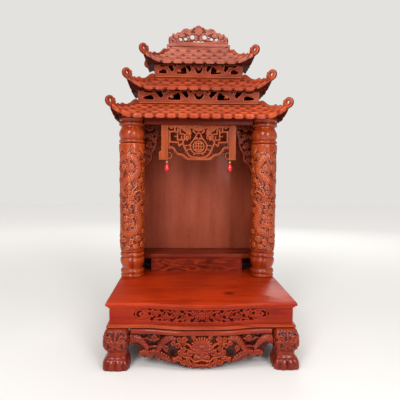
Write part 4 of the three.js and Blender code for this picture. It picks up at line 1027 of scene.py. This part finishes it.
# the cloud border along the bottom, and the thin ground behind it
screen.strand(bend([(101, 633), (94, 634), (86, 630), (78, 618), (68, 611), (56, 609), (47, 602), (36, 595),
                    (22, 594), (-6, 594)]), (5, 4.2, 3.8, 4, 4.6, 4.6, 4.2, 3.8), -1.0, 3.0, 0.4)
screen.disc(98.5, 634, 5, -0.6, 3.2)
screen.outline([(88, 647), (94, 641), (88, 634), (80, 622), (70, 614), (56, 613), (48, 622), (50, 636),
                (60, 640), (72, 648)], -4.2, 1)
screen.outline([(-6, 591), (34, 591), (44, 598), (34, 600), (-6, 598)], -2.0, 1)
screen_bm = carve(screen, (-screen_half, screen_half), (screen_low[2], SCREEN_TOP),
                  flat_face(screen_low[1] + 1.6), cell=1.15, thick=9.6, low=-4.5, high=1.6)
set_in_place(screen_bm, "screen_carved", screen_wood, "pale_hardwood", "lambrequin", crease=60)

# ---- Screen posts --------------------------------------------------------------------------------
# A square post hangs at each end of the screen, with a small open curl at its foot. The left
# one has a toe on its outer side. Their edges are eased, and a thin line is cut down each.
post_wood = varnished_wood(
    "post_wood", (0.23, 0.026, 0.006), (0.34, 0.054, 0.012), (0.42, 0.090, 0.026), grain=(6, 6, 1.2),
    gloss=0.26,
)
POST_INNER, POST_OUTER = 103.7, 128.3
for side, sign in (("left", -1), ("right", 1)):
    low, high = box_mm("lambrequin_post_" + side)
    inner, outer = POST_INNER, POST_OUTER
    toe = 8 if sign < 0 else 0
    bottom, top = low[2], high[2]
    post = Carving()
    edge = [(inner, bottom), (inner, top), (outer, top), (outer, bottom + 32),
            (outer + toe * 0.5, bottom + 31), (outer + toe, bottom + 27), (outer + toe, bottom)]
    post.outline([(sign * x, z) for x, z in edge], 0, 2.2)
    post.strand([(sign * (inner + 6), bottom + 8), (sign * (inner + 6), top)], 0.7, 0.0, -0.8)
    loop = curl(sign * (inner - 4), bottom + 15, 7.4, 7.4, 90, 1, 30)
    post.strand(np.column_stack((loop[:, 0], bottom + 15 + (loop[:, 1] - bottom - 15) * 1.45)), 2.2, -3, 2.2)
    x_range = sorted((sign * (inner - 14), sign * (outer + toe)))
    post_bm = carve(post, x_range, (bottom, top), flat_face(low[1]), cell=1.25, thick=high[1] - low[1],
                    low=-3, high=0)
    set_in_place(post_bm, f"screen_post_{side}_shaped", post_wood, "pale_hardwood", "lambrequin_post_" + side,
                 crease=45)

# ---- Red drops -----------------------------------------------------------------------------------
# A drop of glossy red lacquer hangs from a gilt bead under each post. Both are turned, and
# fixed end to end under the foot of the post.


def coated(name, speckle, dark, light, **finish):
    """A coat whose colour varies a little from place to place."""
    coat = bpy.data.materials.new(name)
    coat.use_nodes = True
    nodes, links = coat.node_tree.nodes, coat.node_tree.links
    place, spots = nodes.new("ShaderNodeTexCoord"), nodes.new("ShaderNodeTexNoise")
    tint = nodes.new("ShaderNodeValToRGB")
    spots.inputs["Scale"].default_value = speckle
    for stop, colour in zip(tint.color_ramp.elements, (dark, light)):
        stop.color = (*colour, 1)
    links.new(place.outputs["Object"], spots.inputs["Vector"])
    links.new(spots.outputs["Fac"], tint.inputs["Fac"])
    links.new(tint.outputs["Color"], nodes["Principled BSDF"].inputs["Base Color"])
    for socket, value in finish.items():
        nodes["Principled BSDF"].inputs[socket.replace("_", " ").title()].default_value = value
    return coat


red_lacquer = coated("red_drop_lacquer", 60, (0.46, 0.002, 0.003), (0.66, 0.006, 0.006), roughness=0.12,
                     coat_weight=1.0, coat_roughness=0.04)
gilt = coated("gilt_bead", 300, (0.62, 0.34, 0.14), (0.95, 0.72, 0.42), metallic=1.0, roughness=0.28)


def turned(profile, x, y, top):
    """A piece turned about an upright axis: the profile gives radius and height below its top."""
    bm = bmesh.new()
    ring = [bm.verts.new((radius, 0, z)) for radius, z in profile]
    edges = [bm.edges.new(pair) for pair in zip(ring, ring[1:])]
    bmesh.ops.spin(bm, geom=ring + edges, cent=(0, 0, 0), axis=(0, 0, 1), angle=2 * math.pi, steps=28,
                   use_merge=True)
    bmesh.ops.remove_doubles(bm, verts=bm.verts, dist=0.005)
    bmesh.ops.translate(bm, vec=(x, y, top), verts=bm.verts)
    return bm


bead_outline = [(0, 0), (1.8, 0), (1.8, -1.4), (2.2, -2.2), (3.6, -3.4), (4.3, -5.2), (4.1, -7), (3.2, -8.4),
                (2.2, -9.2), (0, -9.4)]
bulb_outline = [(0, 0), (2.6, 0), (3.4, -1), (3.4, -2.2), (5.0, -4.4), (7.4, -8), (9.2, -12), (9.7, -15.4),
                (9.0, -20), (7.2, -24.8), (5.0, -28.6), (3.0, -31), (2.0, -32), (0, -32.2)]
for side in ("left", "right"):
    bead_low, bead_high = box_mm("drop_bead_" + side)
    x, y = (bead_low[0] + bead_high[0]) / 2, (bead_low[1] + bead_high[1]) / 2
    set_in_place(turned(bead_outline, x, y, bead_high[2]), f"bead_{side}_turned", gilt, "gold_metal",
                 "drop_bead_" + side, crease=60)
    bulb_top = box_mm("drop_bulb_" + side)[1][2]
    set_in_place(turned(bulb_outline, x, y, bulb_top), f"drop_{side}_turned", red_lacquer, "red_lacquer",
                 "drop_bulb_" + side, crease=60)

# ---- Corner brackets -----------------------------------------------------------------------------
# An openwork bracket of leaf scrolls fills each upper corner behind the screen and tapers
# down the column. It is sawn and carved from a board, and its dark colour is painted shade.
bracket_wood = varnished_wood(
    "bracket_wood", (0.11, 0.008, 0.003), (0.20, 0.018, 0.006), (0.28, 0.038, 0.012), grain=(6, 6, 1.5),
    gloss=0.3,
)
BRACKET_OUTER = 220
for side, sign in (("left", -1), ("right", 1)):
    low, high = box_mm("bracket_" + side)
    outer, top = BRACKET_OUTER, high[2]
    leafage = Carving()
    leafage.strand(bend([(sign * (outer - 3), z) for z in (542, 640, top)]), 5, -1, 2.4)
    leafage.strand([(sign * outer, top - 4), (sign * (outer - 84), top - 4)], 5, -1, 2.4)
    stem = [(outer - 6, 546), (outer - 24, 556), (outer - 30, 576), (outer - 50, 592), (outer - 54, 618),
            (outer - 68, 642), (outer - 72, 672), (outer - 81, 700), (outer - 82, top)]
    leafage.strand(bend([(sign * x, z) for x, z in stem]), (3, 4.5, 4.5, 4.5, 4.5, 4.5), -1, 2.6)
    for x, z, r, start, way in (
        (16, 572, 9, 200, 1), (14, 596, 10, 30, -1), (36, 596, 9, 180, 1), (16, 622, 11, 150, 1),
        (40, 622, 10, 20, -1), (18, 650, 12, 60, -1), (46, 648, 12, 200, 1), (66, 664, 8, 0, 1),
        (20, 682, 13, 180, 1), (50, 680, 12, 20, -1), (72, 690, 9, 90, 1), (18, 714, 13, 0, -1),
        (46, 712, 13, 160, 1), (70, 718, 10, 30, -1),
    ):
        cx = sign * (outer - x)
        first = start if sign > 0 else 180 - start
        leafage.strand(curl(cx, z, r, 2, first, sign * way * 1.6, 26), (3.4, 2.2), -1.2, 3.2)
        leafage.strand(bend([(cx - sign * (r + 6), z - 7), (cx, z - r - 1), (cx + sign * (r + 4), z - 3)]),
                       (1, 3.4, 1), -1.4, 2.6)
    x_range = sorted((sign * (outer - 86), sign * outer))
    bracket_bm = carve(leafage, x_range, (low[2], top), flat_face(low[1] + 2), cell=1.7, thick=10,
                       low=-2, high=2)
    set_in_place(bracket_bm, f"bracket_{side}_carved", bracket_wood, "pale_hardwood", "bracket_" + side,
                 crease=60)

# ---- Roofs ---------------------------------------------------------------------------------------
# Three roofs, each carved to look like staggered courses of thick rounded tiles. They sweep
# down from a gallery to the eave, and turn up at the corners where the hip boards sit.
ROOF_Y, CORNER_REACH, HIP_THICK = 113, 64, 12
# of each slope: the share that runs level under the gallery, how far the skin is sunk to make
# room for the tiles, and the share of the way down at which the outer lip starts
SHELF, SUNK, LIP = 0.12, 2.2, 0.985
# where the gallery above and the eave lie, the heights, how far the corners lift and flare, and
# the sweep and the courses of tiles
roofs = {
    "lower": dict(gallery=(207, 77), top=782, eave_at=(281, 145), eave=736, bottom=724, soffit=742.6, lift=27,
                  flare=5, curve=1.05, lift_curve=2.2, courses=5, pitch=36.6, shelf=16),
    "middle": dict(gallery=(153.5, 44), top=877, eave_at=(229, 114), eave=829, bottom=820, soffit=826,
                   lift=29, flare=8, curve=1.5, lift_curve=1.5, courses=5, pitch=37.4, shelf=16),
    "top": dict(gallery=(96, 9), top=992.5, eave_at=(177, 82), eave=924, bottom=915, soffit=921, lift=23,
                flare=8, curve=1.9, lift_curve=1.5, courses=6, pitch=36.4, shelf=9),
}
roof_woods = {
    "lower": varnished_wood(
        "lower_roof_wood", (0.31, 0.027, 0.006), (0.465, 0.060, 0.012), (0.56, 0.098, 0.025),
        grain=(1.5, 6, 6), gloss=0.28,
    ),
    "middle": varnished_wood(
        "middle_roof_wood", (0.23, 0.020, 0.004), (0.35, 0.040, 0.009), (0.42, 0.070, 0.019),
        grain=(1.5, 6, 6), gloss=0.28,
    ),
    "top": varnished_wood(
        "top_roof_wood", (0.25, 0.048, 0.027), (0.375, 0.094, 0.058), (0.45, 0.142, 0.092), grain=(1.5, 6, 6),
        gloss=0.32,
    ),
}


def skin_height(roof, t):
    """The height of the roof under its tiles, a share t of the way down to the eave."""
    return roof["eave"] + (roof["top"] - roof["eave"]) * (1 - np.clip(t, 0, 1)) ** roof["curve"]


def joint_distance(roof, along, row):
    """How far a point lies from the nearest joint of its course: every other course is staggered."""
    share = (along / roof["pitch"] + 0.5 * (row % 2)) % 1
    return np.minimum(share, 1 - share) * roof["pitch"]


def tiles(roof, along, t):
    """Height of the tiles over the roof's skin, and their painted shade: dark in the joints and just
    under each course's edge, with a painted highlight toward each tile's foot.
    """
    course = np.clip(t, 0, 0.9999) * roof["courses"]
    row = np.floor(course)
    v = course - row
    near = joint_distance(roof, along, row)
    edge = 1 - 0.46 * np.exp(-((near / 5.4) ** 2)) - 0.10 * (1 - np.clip(near / 18, 0, 1)) ** 2
    under = np.clip((v - edge) / 0.07 + 0.5, 0, 1)
    crown = 1.5 * np.clip(near / (roof["pitch"] / 2), 0, 1) ** 0.6
    height = under * 0.2 + (1 - under) * (0.5 + 3.6 * v**1.3 + crown * v)
    # painted shadow just under the course above, and painted highlight toward the tile's foot
    shaded = 0.26 * np.exp(-((v / 0.14) ** 2)) - 0.22 * np.clip((v - 0.6) / 0.4, 0, 1)
    # painted shade in the notches at the joints
    dark = under * 0.68 + (1 - under) * shaded
    dark = np.where((row == 0) & (under == 0), dark * 0.3, dark)
    return np.where(t < 0, 0, height), np.where(t < 0, 0, dark)


def roof_panel(roof, along_x, cell, rows):
    """One slope of a roof, from the shelf under the gallery to the eave, with its soffit."""
    (gx, gy), (ex, ey) = roof["gallery"], roof["eave_at"]
    run = np.array([ex - gx, ey - gy], float)
    unit = run / np.hypot(*run)
    strip = HIP_THICK / 2 - 0.6
    bm = bmesh.new()
    bmesh.ops.create_grid(bm, x_segments=round(2 * (ex if along_x else ey) / cell), y_segments=rows, size=1)
    for layer in ("painted_shading", "under", "soffit_shade"):
        bm.verts.layers.float.new(layer)
    shade, under, soffit_shade = (bm.verts.layers.float[n] for n in ("painted_shading", "under", "soffit_shade"))
    at = np.array([v.co[:2] for v in bm.verts])
    u, t = at[:, 0], (at[:, 1] + 1) / 2 * (1 + SHELF) - SHELF
    inside = np.clip(t, 0, 1)
    shelf = np.clip(-t / SHELF, 0, 1) * roof["shelf"]
    flare = roof["flare"] * inside**2
    i, j = (0, 1) if along_x else (1, 0)
    half = (gx, gy)[i] + run[i] * inside - shelf
    straight = (gx, gy)[j] + run[j] * inside - shelf
    start = half + flare * unit[i] - strip * unit[j]
    turned_out = straight + flare * unit[j] + strip * unit[i]
    share = np.clip(1 - (1 - np.abs(u)) * half / min(CORNER_REACH, 0.92 * (gx, gy)[i] + 20), 0, 1) ** 1.7
    along = u * np.maximum(start, 1)
    out = straight + (turned_out - straight) * share
    rise, dark = tiles(roof, along, t)
    lift = roof["lift"] * inside ** roof["lift_curve"] * share
    z = skin_height(roof, t) + lift + rise - SUNK
    # the lip gets a faint painted highlight, and painted shade in the notches of its last course
    notch = np.exp(-((joint_distance(roof, along, roof["courses"] - 1) / 5) ** 4)) * (1 - 0.7 * share)
    lip = t > LIP
    dark = np.where(lip, -0.05 + 0.8 * notch, dark)
    for v, a, o, h, d in zip(bm.verts, along, out, z, dark):
        v.co = (a, -o, h)
        v[shade] = float(d)
    level, eave = roof["soffit"], roof["bottom"]
    bends_at = (0, 0.7, 0.87, 0.965, 1)
    soffit = np.interp(inside, bends_at, (level, level, (eave + 3 * level) / 4, eave + 3, eave))
    lifted = np.interp(inside, bends_at, (0, 0, 0.5, 0.95, 1))
    below = np.minimum(soffit + roof["lift"] * lifted * share, z - 1.5)
    below = np.where(lip, below + 5.5 * notch * (1 - share), below)
    # painted shade under the soffit, lighter along the underside of the lip
    for v, depth, edge_shade in zip(bm.verts, below, np.where(lip, 0.25 + 0.3 * notch, 0.85)):
        v[under] = float(depth)
        v[soffit_shade] = float(edge_shade)
    raised = bmesh.ops.extrude_face_region(bm, geom=bm.faces[:], use_keep_orig=True)["geom"]
    for v in picked(bmesh.types.BMVert, raised):
        v.co.z = v[under]
        v[shade] = v[soffit_shade]
    flat = [f for f in bm.faces if all(abs(v.co.z - level) < 0.001 for v in f.verts)]
    bmesh.ops.dissolve_faces(bm, faces=flat, use_verts=False)
    for layer in ("under", "soffit_shade"):
        bm.verts.layers.float.remove(bm.verts.layers.float[layer])
    return bm


for name, roof in roofs.items():
    slopes = []
    # the front slope, the right, the rear and the left, finest where it shows most
    for quarter, (cell, rows) in enumerate(((2.5, 84), (3.2, 60), (4.6, 40), (3.2, 60))):
        slope = roof_panel(roof, quarter % 2 == 0, cell, rows)
        bmesh.ops.recalc_face_normals(slope, faces=slope.faces)
        turn_round(slope, quarter * math.pi / 2)
        slopes.append(slope)
    roof_bm = put_together(slopes)
    bmesh.ops.translate(roof_bm, vec=(0, ROOF_Y, 0), verts=roof_bm.verts)
    set_in_place(roof_bm, f"{name}_roof_tiled", roof_woods[name], "pale_hardwood", f"{name}_roof", crease=38)

# ---- Hips ----------------------------------------------------------------------------------------
# A hip board rides down each corner of each roof. Its top edge is cut in waves and bumps, and
# its end curls up and back into a pierced scroll with a knob on the inner side.
hip_wood = varnished_wood(
    "hip_wood", (0.24, 0.024, 0.008), (0.38, 0.052, 0.016), (0.48, 0.095, 0.034), grain=(4, 4, 4), gloss=0.26,
)
# along the back from its outer end: the share of the length, and the height over the roof
hip_waves = ((0.95, 8), (0.9, 8.6), (0.86, 12), (0.82, 8.8), (0.76, 8.6), (0.70, 13.4), (0.66, 14),
             (0.61, 10), (0.52, 8.6), (0.42, 9), (0.33, 11), (0.24, 15), (0.16, 17.6), (0.09, 17), (0.03, 12),
             (0, 6))


def hip_board(roof, first):
    """One hip of a roof, from a share first of the way down, and the angle that it runs at."""
    (gx, gy), (ex, ey) = roof["gallery"], roof["eave_at"]
    run = np.hypot(ex - gx, ey - gy)
    t = np.linspace(first, 1, 12)
    s = run * t + roof["flare"] * t**2
    foot = skin_height(roof, t) + roof["lift"] * t ** roof["lift_curve"] - 2.5
    start, tip, end = s[0], foot[-1] + 2.5, s[-1]
    cs, cz, big = end + 5, tip + 13.5, 17
    arc = [(cs + big * math.cos(a), cz + big * math.sin(a)) for a in np.radians(range(-66, 134, 16))]

    def roof_under(along):
        return float(np.interp(along, s, foot))

    span = cs - big - start
    back = [(start + span * share, roof_under(start + span * share) + up + 2.5) for share, up in hip_waves]
    carving = Carving()
    carving.outline([*zip(s, foot), (end + 0.4, tip - 8.5), *arc, (cs - big * 0.62, cz + 4), *back], 0, 3.4)
    carving.strand(curl(cs, cz, 14.2, 12, -100, 0.62, 24), 2.6, -0.8, 1.6)
    carving.disc(cs, cz, 10, 1.0, -1.4)
    carving.disc(cs - 13.4, cz + 5.6, 4.6, -0.4, 2.4)
    carving.disc(cs - 16.5, cz - 1.6, 3.4, -0.4, 2.2)
    carving.strand([(a, roof_under(a) + 7.4) for a in np.linspace(start + 4, end - 4, 10)], 1.1, 0.2, -1.6)
    carving.disc(cs - 1.5, cz + 1, 5.6, remove=True)
    low = min(foot.min(), tip - 8.6) - 1
    bm = carve(carving, (start, cs + big + 0.2), (low, cz + big + 0.4), flat_face(1.0 - HIP_THICK / 2),
               cell=1.8, thick=HIP_THICK - 2.0, low=-2.4, high=1.0, mirror_back=True)
    return bm, math.atan2(ey - gy, ex - gx)


for name, roof in roofs.items():
    first = 0.16 if name == "top" else 0.0
    for row, side_y in (("front", -1), ("rear", 1)):
        for side, side_x in (("left", -1), ("right", 1)):
            hip_bm, slant = hip_board(roof, first)
            turn = math.atan2(side_y * math.sin(slant), side_x * math.cos(slant))
            turn_round(hip_bm, turn)
            gx, gy = roof["gallery"]
            bmesh.ops.translate(hip_bm, vec=(side_x * gx, ROOF_Y + side_y * gy, 0), verts=hip_bm.verts)
            node = f"hip_{name}_{row}_{side}"
            set_in_place(hip_bm, node + "_carved", hip_wood, "pale_hardwood", node, crease=55)

# ---- Galleries -----------------------------------------------------------------------------------
# Between the roofs stand low box galleries. Their fronts and ends are pierced with leaves that
# stand and hang by turns, parted by curling stems, and their backs are plain boards.
gallery_wood = varnished_wood(
    "gallery_wood", (0.30, 0.034, 0.010), (0.44, 0.066, 0.020), (0.54, 0.110, 0.040), grain=(1.5, 6, 6),
    gloss=0.28,
)
# each opening's outline in a square of its own: shares of its width and of the height of the row
opening_shapes = {
    "leaf": [(0, 0), (0.05, 0.34), (0.3, 0.52), (0.62, 0.44), (1, 0.2), (0.86, 0.02), (0.4, -0.03)],
    "drip": [(-0.05, 0.96), (0.9, 0.98), (0.98, 0.86), (0.55, 0.74), (0.1, 0.82)],
    "hang": [(-0.04, 0.99), (1.06, 0.99), (0.98, 0.74), (0.8, 0.46), (0.56, 0.2), (0.4, 0.34), (0.3, 0.66),
             (0.1, 0.84)],
    "dome": [(0, -0.02), (-0.02, 0.4), (0.08, 0.74), (0.26, 0.84), (0.48, 0.6), (0.82, 0.42), (1.04, 0.2),
             (1.0, 0), (0.6, -0.04)],
    "tulip": [(0, 0.02), (0.5, 0.1), (0.86, 0.34), (1, 0.66), (0.86, 0.86), (0.56, 0.62), (0.3, 0.46),
              (0, 0.42), (-0.3, 0.46), (-0.56, 0.62), (-0.86, 0.86), (-1, 0.66), (-0.86, 0.34), (-0.5, 0.1)],
}
# the curl that grows into an opening: its middle, outer radius, start and widths
opening_curls = {
    "hang": (0.30, 0.78, 0.17, 60, (1.7, 2.4)),
    "dome": (0.76, 0.28, 0.15, 200, (1.6, 2.2)),
}


def leaves(z0, z1, half, openings):
    """A gallery board pierced by the openings, each a kind and where it starts and ends."""
    board = Carving(symmetric=True)
    board.outline(half_board(half, z0, z1), 0, 1.0)
    lo, hi = z0 + 0.30 * (z1 - z0), z1 - 0.03 * (z1 - z0)
    tall = hi - lo
    rims = [closed_curve([(a + (b - a) * u, lo + tall * v) for u, v in opening_shapes[kind]])
            for kind, a, b in openings]
    for rim in rims:
        board.strand(np.vstack((rim, rim[:1])), 2.4, -0.4, 1.9)
    for rim in rims:
        board.outline(rim, remove=True)
    for kind, a, b in openings:
        if kind in opening_curls:
            u, v, outer, start, widths = opening_curls[kind]
            board.strand(curl(a + u * (b - a), lo + v * tall, outer * (b - a), 0.9, start, -0.9, 16), widths,
                         -0.6, 2.2)
    board.strand([(-6, z0 + 2), (half, z0 + 2)], 1.6, -0.6, 1.5)
    return board


galleries = (
    ("lower", [("leaf", 154, 190), ("drip", 152, 188), ("hang", 108, 146), ("dome", 64, 103),
               ("hang", 22, 58), ("tulip", 0, 15.5)], [("dome", 28, 60), ("hang", 8, 30)]),
    ("upper", [("leaf", 111, 139), ("drip", 110, 136), ("hang", 77, 105), ("dome", 43, 75), ("hang", 16, 43),
               ("tulip", 0, 12.5)], [("dome", 8, 32)]),
)
for name, openings, end_openings in galleries:
    low, high = box_mm(name + "_gallery_front")
    z0, z1, half = low[2], high[2], high[0]
    front_bm = carve(leaves(z0, z1, half, openings), (-half, half), (z0, z1), flat_face(low[1] + 1.2),
                     cell=1.4, thick=high[1] - low[1] - 1.2, low=-1.2, high=1.2)
    set_in_place(front_bm, name + "_gallery_front_carved", gallery_wood, "pale_hardwood",
                 name + "_gallery_front", crease=50)
    for side, sign in (("left", -1), ("right", 1)):
        end_low, end_high = box_mm(f"{name}_gallery_{side}")
        reach = (end_high[1] - end_low[1]) / 2
        end_bm = carve(leaves(z0, z1, reach, end_openings), (-reach, reach), (z0, z1), flat_face(-half),
                       cell=1.6, thick=12, low=-1.2, high=0.0)
        turn_round(end_bm, sign * math.pi / 2)
        bmesh.ops.translate(end_bm, vec=(0, ROOF_Y, 0), verts=end_bm.verts)
        set_in_place(end_bm, f"{name}_gallery_{side}_carved", gallery_wood, "pale_hardwood",
                     f"{name}_gallery_{side}", crease=50)
    eased_board(name + "_gallery_rear", gallery_wood, "pale_hardwood", 1.0)

# ---- Ridge ---------------------------------------------------------------------------------------
# A straight bar of the top roof's wood caps that roof, stopped at both ends by a small upright
# block. Their edges are eased, and they are glued down.
for node, ease in (("ridge_bar", 2.5), ("ridge_cap_left", 1.5), ("ridge_cap_right", 1.5)):
    eased_board(node, roof_woods["top"], "pale_hardwood", ease)

# ---- Crest ---------------------------------------------------------------------------------------
# The crest on the ridge is an openwork board of cloud scrolls that climb to a flower in the
# middle, with small round gaps between them. It is carved on both faces.
crest_low, crest_high = box_mm("crest")
crest_z, CREST_TOP, crest_half = crest_low[2], crest_high[2], crest_high[0]
lobes = [
    (-8, 0), (crest_half, 0), (crest_half, 14), (104, 20), (100, 24), (96, 22), (94, 26), (90, 33), (86, 30),
    (83, 27), (79, 33), (73, 38), (67, 37), (63, 36), (60, 42), (54, 48.5), (46, 51.5), (38, 51), (33, 47),
    (28, 44), (24.5, 46), (21, 52), (15, 56), (9, 58), (3.5, CREST_TOP - crest_z), (-8, CREST_TOP - crest_z),
]
crest = Carving(symmetric=True)
crest.outline([(x, crest_z + z) for x, z in lobes], -1.4, 2)
# the gaps, round ones and a long one along the foot
for x, z, r, squash in (
    (21.5, 22, 8, 1.05), (46, 15, 6.4, 0.9), (64, 14, 6, 1.1), (74, 17, 3.6, 1.2), (90, 13, 5, 0.7),
    (37, 22, 3, 1),
):
    crest.disc(x, crest_z + z, r, flat=squash, remove=True)
foot_gap = ((0, 3.2), (16, 4), (20, 8), (9, 9.5), (0, 9.8), (-9, 9.5), (-20, 8), (-16, 4))
crest.outline(closed_curve([(x, crest_z + z) for x, z in foot_gap]), remove=True)
# clouds, large and small, then a ring round the first gap and a bead along the top edge
for x, z, r, start, way in (
    (44, 40, 9, 60, 1), (62, 27, 8.5, 80, 1), (80, 21, 6.5, 100, 1), (97, 14, 6.5, 30, 1),
    (34, 33, 6.5, 200, -1), (54, 24, 4.5, 150, -1), (72, 8, 5, 20, 1),
):
    crest.strand(curl(x, crest_z + z, r, 1.4, start, way * 1.5, 24), (2.6, 1.8), -0.8, 2.2)
for x, z, r, start, way in (
    (55, 38, 5, 10, 1), (29, 44, 4, 120, 1), (72, 31, 5, 40, -1), (88, 28, 3.6, 60, 1),
    (9, 22, 5, 200, 1), (34, 12, 4, 20, -1), (56, 7, 3.6, 160, 1), (83, 8, 4.4, 30, -1),
    (98, 4.5, 3.6, 90, 1), (7, 12, 4, 90, -1),
):
    crest.strand(curl(x, crest_z + z, r, 1.2, start, way * 1.3, 20), (2.2, 1.4), -1.0, 2.0)
crest.strand(curl(21.5, crest_z + 22, 10.4, 10.2, 0, 1, 26), 2.0, -1, 2)
crest.strand(bend([(x, crest_z + z - 2.4) for x, z in lobes[3:-1]]), 1.6, -1.2, 1.8)
# the flower: petals round a boss
flower_z = crest_z + 40
for angle, reach in ((90, 18), (52, 16), (10, 13), (-32, 13), (-90, 12)):
    out, upward = math.cos(math.radians(angle)), math.sin(math.radians(angle))
    petal = [(3 * out, flower_z + 3 * upward), (reach * out, flower_z + reach * upward)]
    crest.strand(petal, (2.4, 5.6, 2.4), -1.2, 2.2, 0.6)
crest.disc(0, flower_z, 5, -0.4, 2.2)
crest.strand([(-6, crest_z + 1.8), (crest_half, crest_z + 1.8)], 1.9, -0.8, 1.6)
crest_bm = carve(crest, (-crest_half, crest_half), (crest_z, CREST_TOP), flat_face(crest_low[1] + 1.4),
                 cell=1.15, thick=crest_high[1] - crest_low[1] - 2.8, low=-2.6, high=1.4, mirror_back=True)
set_in_place(crest_bm, "crest_carved", roof_woods["top"], "pale_hardwood", "crest", crease=55)
